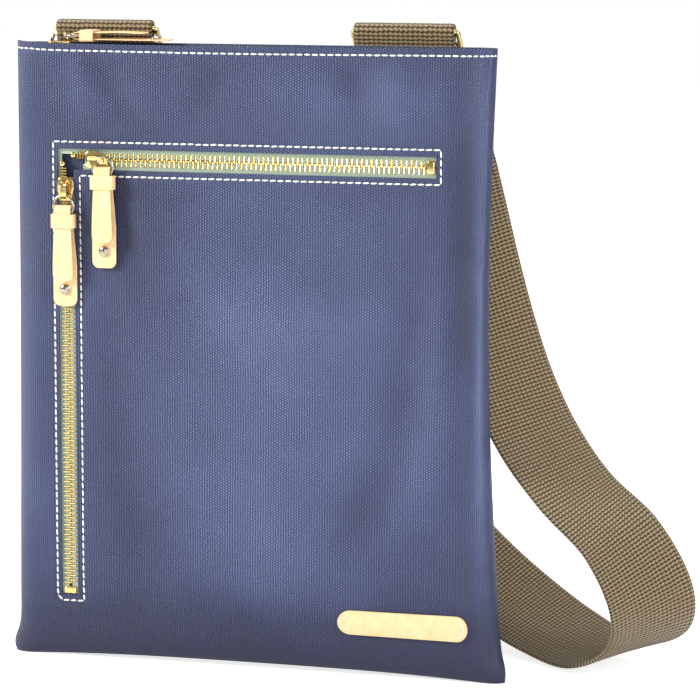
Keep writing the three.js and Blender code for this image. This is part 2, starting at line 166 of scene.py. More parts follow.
def here(mat):
    return node(mat, "ShaderNodeTexCoord").outputs["Object"]


def bump(mat, surface, height, depth, strength=1.0):
    made = node(mat, "ShaderNodeBump", {"Height": height, "Strength": strength, "Distance": depth})
    mat.node_tree.links.new(made.outputs["Normal"], surface.inputs["Normal"])


# %% [markdown]
# ## Coated canvas
#
# The cloth is a heavy cotton canvas with doubled warps: columns 1.3 mm apart, where each column
# comes to the top at every second weft, so its bright spots sit in a brick pattern. Two cosines
# multiplied give that brick pattern from the cloth's own UV map, and a little noise keeps the
# threads from looking printed. The coating fills the weave, so the relief is shallow and the
# surface shines softly. Soft patches of painted highlight make it paler across the middle, at the
# upper right and along both side edges, and patches of painted shade make it darker along the
# base, beside the pulls and in a band in from the right edge. The panels pass on their folds in an
# attribute called fold_wear_and_shade, which makes the colour paler on swellings and darker in
# dents: partly wear on the folds, partly painted highlight and painted shade.

# %% canvas finish
WARP = 1.29
WEFT_REPEAT = 1.33


# painted highlight (paler) and painted shade (darker) patches: u, v of the middle, half width, half height
# and change of tone
PAINTED_LIGHT_PATCHES = [
    # painted highlight across the middle of the face
    (10, 150, 75, 100, 0.18),
    # painted highlight at the upper right
    (62, 280, 32, 22, 0.06),
    # painted highlight along the left edge
    (-113, 150, 7, 120, 0.06),
    # painted shade beside the pulls
    (-58, 222, 24, 48, -0.16),
    # painted shade in a band in from the right edge
    (104, 190, 10, 130, -0.10),
    # painted highlight along the turn of the right side
    (118, 175, 5, 130, 0.50),
    # painted shade along the base
    (0, 6, 150, 28, -0.26),
]


def painted_light_patch(mat, u, v, middle_u, middle_v, wide, high, change):
    """A soft patch of painted light on the cloth: painted highlight where the change is positive, painted
    shade where it is negative.
    """
    across = calc(mat, "POWER", calc(mat, "DIVIDE", calc(mat, "SUBTRACT", u, middle_u), wide), 2)
    up = calc(mat, "POWER", calc(mat, "DIVIDE", calc(mat, "SUBTRACT", v, middle_v), high), 2)
    fade = calc(mat, "POWER", 0.3679, calc(mat, "ADD", across, up))
    return calc(mat, "MULTIPLY", fade, change)


def canvas_finish():
    mat, surface = shader("coated_canvas", Specular_IOR_Level=0.5, Coat_Weight=0.22,
                          Coat_Roughness=0.3)
    uv, u, v = cloth_axes(mat)
    wander = cloud(mat, uv, 0.16, 3)
    drift = calc(mat, "MULTIPLY_ADD", wander, 0.9, -0.45)
    columns = calc(mat, "MULTIPLY", calc(mat, "ADD", u, drift), math.pi / WARP)
    rows = calc(mat, "MULTIPLY", calc(mat, "ADD", v, drift), 2 * math.pi / WEFT_REPEAT)
    brick = calc(mat, "MULTIPLY", calc(mat, "COSINE", columns), calc(mat, "COSINE", rows))
    ribs = calc(mat, "COSINE", calc(mat, "MULTIPLY", columns, 2))
    weave = calc(mat, "MULTIPLY_ADD", ribs, 0.45, calc(mat, "MULTIPLY", brick, 0.55))
    grain = cloud(mat, uv, 0.9, 4, 0.65)
    height = calc(mat, "MULTIPLY_ADD", grain, 0.6, weave)
    threads = calc(mat, "MULTIPLY_ADD", height, 0.42, -0.04)
    tone = calc(mat, "MULTIPLY_ADD", cloud(mat, uv, 0.02, 4, 0.6), 0.4, threads)
    # lay the painted highlights and painted shade over the cloth's tone
    for middle_u, middle_v, wide, high, change in PAINTED_LIGHT_PATCHES:
        tone = calc(mat, "ADD", tone, painted_light_patch(mat, u, v, middle_u, middle_v, wide, high, change))
    # the panels' relief makes the colour paler on swellings and darker in dents: partly wear on the folds,
    # partly painted highlight and painted shade
    fold_wear_and_shade = node(mat, "ShaderNodeAttribute", attribute_name="fold_wear_and_shade").outputs["Fac"]
    tone = calc(mat, "MULTIPLY_ADD", calc(mat, "MINIMUM", fold_wear_and_shade, 2.2), 0.085, tone)
    colour = ramp(mat, tone,
                  (0.0, srgb(18, 24, 58)), (0.5, srgb(48, 60, 103)), (1.0, srgb(102, 116, 154)))
    mat.node_tree.links.new(colour, surface.inputs["Base Color"])
    rough = rescale(mat, tone, 0.1, 0.9, 0.52, 0.38)
    mat.node_tree.links.new(rough, surface.inputs["Roughness"])
    bump(mat, surface, height, 0.17 * MM, 1.0)
    return mat


CANVAS = canvas_finish()

# %% [markdown]
# ## Webbing, zip tape and lining
#
# The strap webbing is a thick cotton with bold cross ribs, and the holes between its yarns give
# it its look, so they go into the relief, and into the colour as painted shade. Zip tape is a fine
# herringbone, and the lining is plain cotton.

# %% woven finishes
RIB = 1.9
YARN = 2.4


def webbing_finish():
    mat, surface = shader("webbing", Roughness=0.86, Specular_IOR_Level=0.25, Sheen_Weight=0.25,
                          Sheen_Roughness=0.5)
    uv, u, v = cloth_axes(mat)
    drift = calc(mat, "MULTIPLY_ADD", cloud(mat, uv, 0.2, 2), 0.8, -0.4)
    along = calc(mat, "MULTIPLY", calc(mat, "ADD", u, drift), math.pi / RIB)
    across = calc(mat, "MULTIPLY", calc(mat, "ADD", v, drift), math.pi / YARN)
    rib = calc(mat, "ABSOLUTE", calc(mat, "SINE", along))
    lean = calc(mat, "ADD", calc(mat, "MULTIPLY", across, 2), calc(mat, "MULTIPLY", along, 2))
    yarn = calc(mat, "MULTIPLY_ADD", calc(mat, "COSINE", lean), 0.5, 0.5)
    gap = calc(mat, "POWER", calc(mat, "ABSOLUTE", calc(mat, "COSINE", along)), 5)
    between = calc(mat, "POWER", calc(mat, "ABSOLUTE", calc(mat, "COSINE", across)), 3)
    hole = calc(mat, "MULTIPLY", gap, between)
    fuzz = cloud(mat, uv, 1.6, 4, 0.7)
    body = calc(mat, "MULTIPLY_ADD", yarn, 0.45, calc(mat, "MULTIPLY", rib, 0.5))
    fuzzy = calc(mat, "MULTIPLY_ADD", fuzz, 0.35, body)
    height = calc(mat, "SUBTRACT", fuzzy, calc(mat, "MULTIPLY", hole, 1.5))
    # the colour follows the height, so the holes and low yarns carry painted shade
    colour = ramp(mat, height,
                  (0.0, srgb(46, 36, 22)), (0.35, srgb(92, 77, 52)),
                  (0.75, srgb(124, 106, 76)), (1.0, srgb(156, 140, 110)))
    mat.node_tree.links.new(colour, surface.inputs["Base Color"])
    bump(mat, surface, height, 0.35 * MM, 0.8)
    return mat


def tape_finish():
    mat, surface = shader("zip_tape", Roughness=0.8, Specular_IOR_Level=0.25, Sheen_Weight=0.3)
    uv, u, v = cloth_axes(mat)
    chevron = calc(mat, "PINGPONG", v, 1.1)
    slant = calc(mat, "MULTIPLY", calc(mat, "ADD", u, chevron), 2 * math.pi / 0.9)
    height = calc(mat, "MULTIPLY_ADD", calc(mat, "SINE", slant), 0.35, cloud(mat, uv, 1.4, 3))
    colour = ramp(mat, height,
                  (0.1, srgb(138, 158, 136)), (0.5, srgb(172, 190, 166)), (0.95, srgb(206, 216, 198)))
    mat.node_tree.links.new(colour, surface.inputs["Base Color"])
    bump(mat, surface, height, 0.08 * MM, 0.7)
    return mat


def lining_finish():
    mat, surface = shader("lining", Roughness=0.9, Specular_IOR_Level=0.2)
    uv, u, v = cloth_axes(mat)
    threads = calc(mat, "MULTIPLY",
                   calc(mat, "SINE", calc(mat, "MULTIPLY", u, 2 * math.pi / 0.5)),
                   calc(mat, "SINE", calc(mat, "MULTIPLY", v, 2 * math.pi / 0.5)))
    height = calc(mat, "MULTIPLY_ADD", threads, 0.25, cloud(mat, uv, 0.5, 4))
    colour = ramp(mat, height, (0.2, srgb(128, 126, 108)), (0.8, srgb(176, 174, 154)))
    mat.node_tree.links.new(colour, surface.inputs["Base Color"])
    bump(mat, surface, height, 0.05 * MM, 0.6)
    return mat


WEBBING = webbing_finish()
TAPE = tape_finish()
LINING = lining_finish()

# %% [markdown]
# ## Metal, leather and thread
#
# The hardware is polished brass, with nickel on the pull rings and rivets: very smooth, with faint
# handling marks in the roughness. The pulls and the label are natural vegetable-tanned leather,
# pale on the face and browner at cut edges, which Geometry's pointiness finds. The thread is a
# thick white cotton.

# %% metal, leather and thread finishes
def metal_finish(name, dark, light, rough):
    mat, surface = shader(name, Metallic=1.0, Roughness=rough)
    marks = cloud(mat, here(mat), 900, 5, 0.7)
    colour = ramp(mat, marks, (0.25, dark), (0.7, light))
    mat.node_tree.links.new(colour, surface.inputs["Base Color"])
    handled = rescale(mat, marks, 0.3, 0.75, rough * 0.7, rough * 1.5)
    mat.node_tree.links.new(handled, surface.inputs["Roughness"])
    bump(mat, surface, marks, 0.02 * MM, 0.25)
    return mat


def leather_finish():
    mat, surface = shader("natural_leather", Roughness=0.5, Specular_IOR_Level=0.4,
                          Subsurface_Weight=0.08, Subsurface_Scale=0.002)
    place = here(mat)
    pores = node(mat, "ShaderNodeTexVoronoi", {"Vector": place, "Scale": 2200.0}).outputs["Distance"]
    cloudy = cloud(mat, place, 160, 4, 0.6)
    height = calc(mat, "MULTIPLY_ADD", pores, 0.35, cloudy)
    face = ramp(mat, height,
                (0.2, srgb(228, 186, 132)), (0.55, srgb(241, 204, 150)), (0.9, srgb(250, 220, 172)))
    edge = node(mat, "ShaderNodeNewGeometry").outputs["Pointiness"]
    worn = rescale(mat, edge, 0.56, 0.68, 0.0, 0.3)
    tint = node(mat, "ShaderNodeMix", {"Factor": worn, "A": face, "B": srgb(205, 140, 84)},
                data_type="RGBA")
    mat.node_tree.links.new(tint.outputs["Result"], surface.inputs["Base Color"])
    bump(mat, surface, height, 0.05 * MM, 0.35)
    return mat


def thread_finish():
    mat, surface = shader("white_thread", Roughness=0.7, Specular_IOR_Level=0.3, Sheen_Weight=0.2)
    strands = node(mat, "ShaderNodeTexWave", {
        "Vector": here(mat), "Scale": 900.0, "Distortion": 1.5}, bands_direction="DIAGONAL")
    colour = ramp(mat, strands.outputs["Fac"], (0.0, srgb(226, 224, 216)), (0.6, srgb(252, 252, 250)))
    mat.node_tree.links.new(colour, surface.inputs["Base Color"])
    bump(mat, surface, strands.outputs["Fac"], 0.05 * MM, 0.5)
    return mat


BRASS = metal_finish("polished_brass", srgb(216, 182, 104), srgb(252, 230, 164), 0.17)
NICKEL = metal_finish("nickel_plate", srgb(150, 138, 120), srgb(216, 204, 186), 0.14)
LEATHER = leather_finish()
THREAD = thread_finish()

# %% [markdown]
# ## Turning a bmesh into a piece
#
# Each piece is shaped in millimetres and then scaled to metres into one object at the origin. The
# helper also gives the piece its finish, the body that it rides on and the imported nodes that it
# stands for. Hard corners stay crisp because edges steeper than the given angle are marked sharp.

# %% piece helper
def piece(name, bm, finish, body, replaces=(), place=Matrix.Identity(4), crisp=50, outward=True):
    bm.transform(place)
    bmesh.ops.scale(bm, vec=(MM, MM, MM), verts=bm.verts)
    if outward:
        bmesh.ops.recalc_face_normals(bm, faces=bm.faces)
    mesh = bpy.data.meshes.new(name)
    bm.to_mesh(mesh)
    bm.free()
    mesh.materials.append(finish)
    mesh.shade_smooth()
    if crisp:
        mesh.set_sharp_from_angle(angle=math.radians(crisp))
    made = bpy.data.objects.new(name, mesh)
    scene.collection.objects.link(made)
    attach(made, body)
    if replaces:
        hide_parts(*replaces)
    return made


def uv_layer(bm):
    return bm.loops.layers.uv.get("cloth") or bm.loops.layers.uv.new("cloth")


def moved(x=0.0, y=0.0, z=0.0):
    return Matrix.Translation((x, y, z))


def turned(degrees, axis):
    return Matrix.Rotation(math.radians(degrees), 4, axis)


def corners(node_name):
    """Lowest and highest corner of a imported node, in millimetres."""
    low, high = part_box(node_name)
    return Vector(low) / MM, Vector(high) / MM


# %% [markdown]
# ## The strap
#
# The strap is one length of 50 mm webbing. It is folded round the lower bar of the right ring,
# hangs behind the bag in a loop that swings out to the right and touches the floor, comes up to the
# left ring, goes round its bar and runs back down to a three-bar adjuster. Its route is a smooth
# curve through listed points, each with the direction across the webbing there. A grid is
# wrapped round that route into a flat tube, with two rows of faces for each rib, so that the
# ribs and the bumpy selvedge are real shape.

# %% strap route, in millimetres: centre x, y, z and the direction across the width
WEB_T = 1.9
LEG_GAP = 0.4
RING_WIRE = 2.4
RING_DROP = 12.5
BAR = Vector((0, 11.1, 313.0))
LOWER = BAR + Vector((0, RING_DROP, -RING_DROP)) * math.sqrt(0.5)
BAND_Y = LOWER.y + (LEG_GAP + WEB_T) / 2
TAB_X = {"left": -79.0, "right": 71.5}
STRAP_ROUTE = [
    (71.5, BAND_Y, LOWER.z - 8, 1.00, 0.00, 0.00),
    (75, 22, 281, 0.99, 0.10, 0.06),
    (85.5, 26, 256, 0.95, 0.27, 0.13),
    (92.5, 31, 229, 0.87, 0.43, 0.20),
    (100, 36, 200, 0.77, 0.58, 0.24),
    (109, 38, 170, 0.69, 0.67, 0.26),
    (120, 35, 142, 0.63, 0.73, 0.26),
    (135, 28, 115.5, 0.60, 0.76, 0.25),
    (155, 19, 92.5, 0.57, 0.79, 0.23),
    (179, 13, 71, 0.62, 0.75, 0.21),
    (193, 15, 43, 0.70, 0.69, 0.19),
    (190, 27, 19.5, 0.75, 0.64, 0.14),
    (167, 42, 7.2, 0.76, 0.64, 0.16),
    (138, 62, 12, 0.72, 0.64, 0.23),
    (105, 80, 27, 0.60, 0.68, 0.40),
    (78, 88, 48, 0.53, 0.70, 0.48),
    (53, 90, 72, 0.54, 0.67, 0.51),
    (31, 88, 98, 0.56, 0.63, 0.54),
    (10, 83, 125, 0.60, 0.58, 0.55),
    (-9, 76, 153, 0.65, 0.51, 0.56),
    (-26, 67, 182, 0.71, 0.42, 0.56),
    (-42, 56, 211, 0.80, 0.31, 0.51),
    (-57, 42, 239, 0.89, 0.19, 0.40),
    (-69, 30, 262, 0.96, 0.08, 0.22),
    (-77, 23, 281, 0.99, 0.02, 0.08),
    (-79, BAND_Y, LOWER.z - 8, 1.00, 0.00, 0.00),
]


def route_at(t):
    """Centre and width direction at t from 0 to 1, on a Catmull-Rom curve."""
    points = [np.array(p) for p in STRAP_ROUTE]
    last = len(points) - 1
    i = min(int(t * last), last - 1)
    w = t * last - i
    before = points[i - 1] if i > 0 else 2 * points[0] - points[1]
    after = points[i + 2] if i + 2 <= last else 2 * points[last] - points[last - 1]
    a, b = points[i], points[i + 1]
    ta, tb = (b - before) / 2, (after - a) / 2
    return a + ta * w + (3 * (b - a) - 2 * ta - tb) * w ** 2 + (2 * (a - b) + ta + tb) * w ** 3


def route_frames(steps):
    """Centre, width direction and normal along the route."""
    samples = np.array([route_at(i / steps) for i in range(steps + 1)])
    centre, wide = samples[:, :3], samples[:, 3:]
    along = np.gradient(centre, axis=0)
    along /= np.linalg.norm(along, axis=1)[:, None]
    wide = wide - along * np.sum(wide * along, axis=1)[:, None]
    wide /= np.linalg.norm(wide, axis=1)[:, None]
    return centre, wide, np.cross(wide, along)


# %% one ribbon of webbing along any line
SECTION = [(-1, 0), (-0.985, 0.75), (-0.94, 1), (-0.62, 1), (-0.2, 1), (0.2, 1), (0.62, 1), (0.94, 1),
           (0.985, 0.75), (1, 0), (0.985, -0.75), (0.94, -1), (0.62, -1), (0.2, -1), (-0.2, -1),
           (-0.62, -1), (-0.94, -1), (-0.985, -0.75), (-1, 0)]
SCALLOP = 0.28
RIB_HIGH = 0.08


def even_steps(line, step):
    """The same line, of any number of columns, with its rows step apart along it."""
    gaps = np.linalg.norm(np.diff(line[:, :3], axis=0), axis=1)
    run = np.concatenate([[0], np.cumsum(gaps)])
    count = max(2, round(run[-1] / step))
    at = np.linspace(0, run[-1], count + 1)
    return np.stack([np.interp(at, run, line[:, k]) for k in range(line.shape[1])], axis=1), run[-1]


def ribbon(line, width, thick, step=RIB / 2, start=0.0):
    """A flat tube of webbing: line holds its centre and width direction."""
    line, length = even_steps(line, step)
    centre, wide = line[:, :3], line[:, 3:]
    along = np.gradient(centre, axis=0)
    along /= np.linalg.norm(along, axis=1)[:, None]
    wide = wide - along * np.sum(wide * along, axis=1)[:, None]
    wide /= np.linalg.norm(wide, axis=1)[:, None]
    normal = np.cross(wide, along)
    rows, sides = len(centre) - 1, len(SECTION) - 1
    bm = bmesh.new()
    bmesh.ops.create_grid(bm, x_segments=rows, y_segments=sides, size=0.5)
    uv = uv_layer(bm)
    for face in bm.faces:
        for loop in face.loops:
            i = round((loop.vert.co.x + 0.5) * rows)
            across, _ = SECTION[round((loop.vert.co.y + 0.5) * sides)]
            loop[uv].uv = (start + i * length / rows, across * width / 2)
    for vert in bm.verts:
        i = round((vert.co.x + 0.5) * rows)
        across, up = SECTION[round((vert.co.y + 0.5) * sides)]
        crest = 1 if i % 2 else -1
        reach = across * (width / 2 - SCALLOP * (crest < 0) * (abs(across) > 0.96))
        lift = up * (thick / 2 + crest * RIB_HIGH * (abs(across) < 0.96))
        vert.co = Vector(centre[i] + wide[i] * reach + normal[i] * lift)
    bmesh.ops.remove_doubles(bm, verts=bm.verts, dist=0.001)
    ends = [edge for edge in bm.edges if edge.is_boundary]
    bmesh.ops.edgeloop_fill(bm, edges=ends)
    return bm, centre, length


# %% the strap itself
STRAP_W = 49.2
FOLD_R = RING_WIRE * math.sqrt(0.5) + 0.3 + WEB_T / 2
BOTH = WEB_T + LEG_GAP
ADJUSTER_AT = 0.868
TAIL_FROM = ADJUSTER_AT + 13.5 / 763


def fold_line(x, bar, front_leg, back_leg, half_gap=(LEG_GAP + WEB_T) / 2):
    """Centre line of webbing folded over a bar: up the front leg, over and down the back leg."""
    close = 7.0
    rows = [(-half_gap, -front_leg), (-half_gap, -close)]
    for a in np.linspace(0, math.pi, 13):
        rows.append((-FOLD_R * math.cos(a), FOLD_R * math.sin(a)))
    rows += [(half_gap, -close), (half_gap, -back_leg)]
    return np.array([(x, bar.y + y, bar.z + z, 1.0, 0.0, 0.0) for y, z in rows])


centre, wide, normal = route_frames(400)
body_line = np.concatenate([centre, wide], axis=1)
tail_rows = range(400, int(400 * TAIL_FROM), -4)
tail_line = np.array([np.concatenate([centre[i] + normal[i] * BOTH, wide[i]]) for i in tail_rows])
right_fold = fold_line(TAB_X["right"], LOWER, 24, 7.5)
left_fold = fold_line(TAB_X["left"], LOWER, 7.5, 7.5)[::-1]
strap_line = np.concatenate([right_fold, body_line, left_fold, tail_line])
bm, strap_centre, strap_length = ribbon(strap_line, STRAP_W, WEB_T)
strap = piece("webbing_strap", bm, WEBBING, "strap", ["strap"], crisp=0)
print("strap:", round(strap_length), "mm of webbing,", len(strap.data.polygons), "faces")

# %% [markdown]
# ## Rings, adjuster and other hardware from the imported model
#
# The rectangular rings are bent from round wire, so they are made as a curve with a round section
# and turned into a mesh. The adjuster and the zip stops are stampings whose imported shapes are
# already right except for their sharp corners, so a merged copy of each gets its edges rounded.

# %% wire and stamped parts
def wire(name, points, radius, finish, body, replaces, closed=True):
    """Round wire through the points, as a mesh."""
    curve = bpy.data.curves.new(name, "CURVE")
    curve.dimensions = "3D"
    curve.bevel_depth = radius * MM
    curve.bevel_resolution = 4
    spline = curve.splines.new("POLY")
    spline.points.add(len(points) - 1)
    for target, point in zip(spline.points, points):
        target.co = (*(Vector(point) * MM), 1)
    spline.use_cyclic_u = closed
    holder = bpy.data.objects.new(name + "_curve", curve)
    scene.collection.objects.link(holder)
    mesh = bpy.data.meshes.new_from_object(holder.evaluated_get(bpy.context.evaluated_depsgraph_get()))
    bpy.data.objects.remove(holder)
    bm = bmesh.new()
    bm.from_mesh(mesh)
    bpy.data.meshes.remove(mesh)
    bmesh.ops.scale(bm, vec=(1 / MM,) * 3, verts=bm.verts)
    return piece(name, bm, finish, body, replaces, crisp=0)


def rounded_rectangle(half_w, top, bottom, radius, steps=6):
    """Points round a rectangle in X and Z whose corners are arcs."""
    points = []
    for turn, (sx, z, sz) in enumerate([(1, top, -1), (-1, top, -1), (-1, bottom, 1), (1, bottom, 1)]):
        middle = Vector((sx * (half_w - radius), 0, z + sz * radius))
        for k in range(steps + 1):
            a = math.radians(90 * turn + 90 * k / steps)
            points.append(middle + Vector((math.cos(a), 0, math.sin(a))) * radius)
    return points


def softened(node_name, name, radius, finish, body, segments=2):
    """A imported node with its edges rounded."""
    bm = bmesh.new()
    bm.from_mesh(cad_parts[node_name].data)
    bmesh.ops.scale(bm, vec=(1 / MM,) * 3, verts=bm.verts)
    bmesh.ops.remove_doubles(bm, verts=bm.verts, dist=0.001)
    bmesh.ops.dissolve_limit(bm, angle_limit=math.radians(2), verts=bm.verts, edges=bm.edges)
    sharp = [e for e in bm.edges if len(e.link_faces) == 2 and e.calc_face_angle(0) > math.radians(30)]
    bmesh.ops.bevel(bm, geom=sharp, offset=radius, affect="EDGES", segments=segments, profile=0.5,
                    material=-1, clamp_overlap=True)
    return piece(name, bm, finish, body, [node_name])


RING_HALF = 54 / 2 - RING_WIRE / 2
for side, x in TAB_X.items():
    loop = rounded_rectangle(RING_HALF, 0, -RING_DROP, 2.2)
    tilt = moved(x, BAR.y, BAR.z) @ turned(45, "X")
    wire(f"rectangular_ring_{side}", [tilt @ p for p in loop], RING_WIRE / 2, BRASS, "strap",
         [f"strap_ring_{side}"])
adjuster = softened("strap_adjuster", "three_bar_adjuster", 0.5, BRASS, "strap")

# %% strap tabs
TAB_W = 49.4
for side, x in TAB_X.items():
    line = fold_line(x, BAR, 38, 38)
    bm, _, _ = ribbon(line, TAB_W, WEB_T)
    piece(f"webbing_tab_{side}", bm, WEBBING, "bag", [f"strap_tab_{side}"], crisp=0)

# %% [markdown]
# ## The shape of a canvas panel
#
# A panel is easiest to think of flat on the cutting table: u runs across it and v up it, both along
# the cloth. One function bends that flat cloth into the bag: a nearly flat face that leans back a
# little, quarter turns at the two side seams, and a curve in under the base. The soft dents and
# swellings of a slack bag are a relief added to the face, which fades at the stiff zips, the hem
# and the seams.

# %% bending the flat cloth
HEIGHT = corners("front_panel")[1].z
DEPTH_TOP = 7.5
DEPTH_LOW = -corners("front_panel")[0].y
LOW = 14.0
SOLE = 4.0
SIDE_R = 12.0
STRAIGHT = 105.0
TURN = 17.0
ARC = 17.3
SEAM = 0.15
U_MAX = 132.0
V_MIN = LOW - ARC - (SOLE - SEAM)
LEAN = math.atan2(DEPTH_LOW - DEPTH_TOP, HEIGHT - LOW)
FACE_AT_FLOOR = DEPTH_LOW + LOW * math.tan(LEAN)
ON_FACE = moved(0, -FACE_AT_FLOOR, 0) @ Matrix.Rotation(-LEAN, 4, "X")
POCKET = {"left": -98.0, "right": 91.6, "top": 255.0, "inner": -89.4, "under": 244.8, "bottom": 32.8}
SIDES = {
    "left": {"base": 124.0, "top": 120.2, "pull": 0.9, "ear": 3.4},
    "right": {"base": 124.0, "top": 119.0, "pull": 5.6, "ear": 1.6},
}


def bell(x, middle, spread):
    return math.exp(-((x - middle) / spread) ** 2)


def ease(x, low, high):
    t = min(max((x - low) / (high - low), 0.0), 1.0)
    return t * t * (3 - 2 * t)


def half_width(z, side):
    """The left side hangs straight and the right side is pulled in; both corners stick out."""
    t = min(max(z / HEIGHT, 0.0), 1.0)
    s = SIDES[side]
    plain = s["base"] + (s["top"] - s["base"]) * t - s["pull"] * math.sin(math.pi * t)
    return plain + s["ear"] * bell(z, 4.6, 7.5)


def soft_relief(x, z, seed):
    """How far the slack canvas stands out from its plane, in millimetres."""
    broad = noise.noise(Vector((x / 95, z / 120, seed)))
    small = noise.noise(Vector((x / 38, z / 46, seed + 7.3)))
    swell = 1.5 * math.cos(math.pi * min(abs(x) / 125, 1) / 2)
    swell *= math.sin(math.pi * min(max(z / HEIGHT, 0), 1))
    return swell + 2.3 * broad + 0.9 * small


def stiff(x, z):
    """1 in free canvas, and much less beside the pocket's zips, the hem and the label."""
    across = min(abs(z - 250), 200) if -110 < x < 100 else 200
    down = abs(x + 93.7) if 25 < z < 262 else 200
    near_zip = 0.15 + 0.85 * ease(min(across, down), 8, 34)
    near_hem = ease(HEIGHT - z, 2, 26)
    near_label = 0.2 + 0.8 * (1 - bell(x, 76.8, 42) * bell(z, 27.4, 22))
    return near_zip * near_hem * near_label


# x, z of the middle, turn from upright in degrees, half length, half width, height
CREASES = [
    (-71, 287, 36, 20, 6, -2.0),
    (-86, 288, 10, 18, 7, 1.2),
    (-20, 286, -30, 16, 8, -1.2),
    (14, 284, 15, 18, 10, 1.0),
    (51, 287, 20, 14, 6, -1.9),
    (72, 282, 5, 20, 9, 1.8),
    (104, 232, 0, 52, 5, -1.8),
    (92, 160, -4, 60, 9, 1.2),
    (78, 150, -8, 60, 10, -1.2),
    (-63, 214, 15, 24, 7, -1.9),
    (-34, 196, 30, 30, 11, -0.8),
    (18, 208, 72, 24, 8, -1.4),
    (46, 186, 60, 30, 9, 0.9),
    (111, 197, 80, 8, 3, 0.9),
    (110, 208, 80, 8, 3, -0.9),
    (-111, 165, 0, 70, 5, 0.9),
    (83, 94, -25, 40, 12, 1.4),
    (58, 84, -25, 36, 11, -1.2),
    (-30, 96, 20, 46, 16, 1.1),
    (-62, 70, 12, 34, 10, -1.2),
    (-70, 150, 4, 50, 9, -0.8),
]


def creases(x, z):
    total = 0.0
    for middle_x, middle_z, turn, long, wide, high in CREASES:
        a = math.radians(turn)
        dx, dz = x - middle_x, z - middle_z
        along = dx * math.sin(a) - dz * math.cos(a)
        across = dx * math.cos(a) + dz * math.sin(a)
        total += high * bell(along, 0, long) * bell(across, 0, wide)
    return total


def room_for_pull(x, z):
    """The face may not stand out where the hanging pulls travel."""
    band = ease(z, 110, 200) * (1 - ease(z, 258, 272))
    return 0.5 + 8 * (1 - max(band, bell(x, -93.7, 12)))


def face_relief(x, z):
    tucked = 2.4 * (1 - ease(z + 4 * math.sin(x / 24), 8, 46))
    out = soft_relief(x, z, 3.1) * stiff(x, z) + creases(x, z) * ease(HEIGHT - z, 1, 14)
    cap = room_for_pull(x, z)
    out = cap - 0.3 * math.log1p(math.exp((cap - out) / 0.3))
    return out - tucked


def back_relief(x, z):
    return soft_relief(x, z, 11.7) * ease(HEIGHT - z, 2, 40)


SEWN = 0.3


def stitch_dent(x, z):
    """The cloth is drawn in along each row of stitches."""
    dent = bell(z, HEM_Z, 1.3)
    if PLACKET["left"] - 2 < x < PLACKET["right"] + 2 and z < PLACKET["top"] + 2:
        dent += bell(z, PLACKET["top"], 1.2)
        if x > PLACKET["inner"]:
            dent += bell(z, PLACKET["under"], 1.2)
    if PLACKET["bottom"] < z < PLACKET["top"]:
        dent += bell(x, PLACKET["left"], 1.2)
    if PLACKET["bottom"] < z < PLACKET["under"]:
        dent += bell(x, PLACKET["inner"], 1.2)
    if PLACKET["under"] < z < PLACKET["top"]:
        dent += bell(x, PLACKET["right"], 1.2)
    return SEWN * min(dent, 1.0)


HEM_Z = HEIGHT - 3.3
PLACKET = {"left": -100.0, "right": 93.9, "top": 258.4, "inner": -86.4, "under": 241.9, "bottom": 29.75}


def on_canvas(u, v, lift=0.0, relief=face_relief, dents=stitch_dent, mirrored=False):
    """Where the point u, v of the flat front cloth is on the bag, lifted off the surface."""
    if v >= LOW:
        z = v
        depth = DEPTH_LOW + (DEPTH_TOP - DEPTH_LOW) * (v - LOW) / (HEIGHT - LOW)
        face = 1.0
        tuck = 0.0
    else:
        a = min((LOW - v) / ARC, 1.0) * math.pi / 2
        z = LOW - LOW * math.sin(a)
        rest = max(LOW - v - ARC, 0.0)
        depth = SOLE + (DEPTH_LOW - SOLE) * math.cos(a) - rest
        face = math.cos(a)
        tuck = math.sin(a)
    side = "right" if (u > 0) != mirrored else "left"
    half = half_width(z, side)
    beyond = abs(u) - STRAIGHT
    theta = 0.0
    x = abs(u)
    if beyond > 0:
        flat_rest = half - SIDE_R - STRAIGHT
        run = beyond / (U_MAX - STRAIGHT) * (flat_rest + TURN)
        x = STRAIGHT + min(run, flat_rest)
        if run > flat_rest:
            theta = (run - flat_rest) / TURN * math.pi / 2
            x = half - SIDE_R + SIDE_R * math.sin(theta)
    x = math.copysign(x, u)
    z += 2.6 * max(1 - (abs(x) / 119) ** 3, 0) * (1 - ease(v, 0, 40))
    if not mirrored:
        z += (0.9 * bell(x, -120, 14) - 0.6 * bell(x, -5, 75)) * ease(v, 280, HEIGHT)
    turn = math.cos(theta)
    out = (relief(x, z) - dents(x, z)) * face * turn + lift * face * turn
    y = -(SEAM + (depth - SEAM) * turn + out)
    x += math.copysign(lift * math.sin(theta), u)
    return Vector((x, y, z - lift * tuck))


print("face leans", round(math.degrees(LEAN), 2), "degrees")

# %% [markdown]
# ## Making the panels
#
# A flat grid is cut along the pocket mouth and beside every row of stitches, so that the mouth has
# straight edges and the stitched dents have enough points to show. The mouth's faces are taken
# out, the cloth keeps its flat position as its UV map, and then every point moves to its place.
# Solidify gives the canvas its thickness inwards, and a bevel turns the raw rims into folded edges.

# %% panel maker
CANVAS_T = 1.2


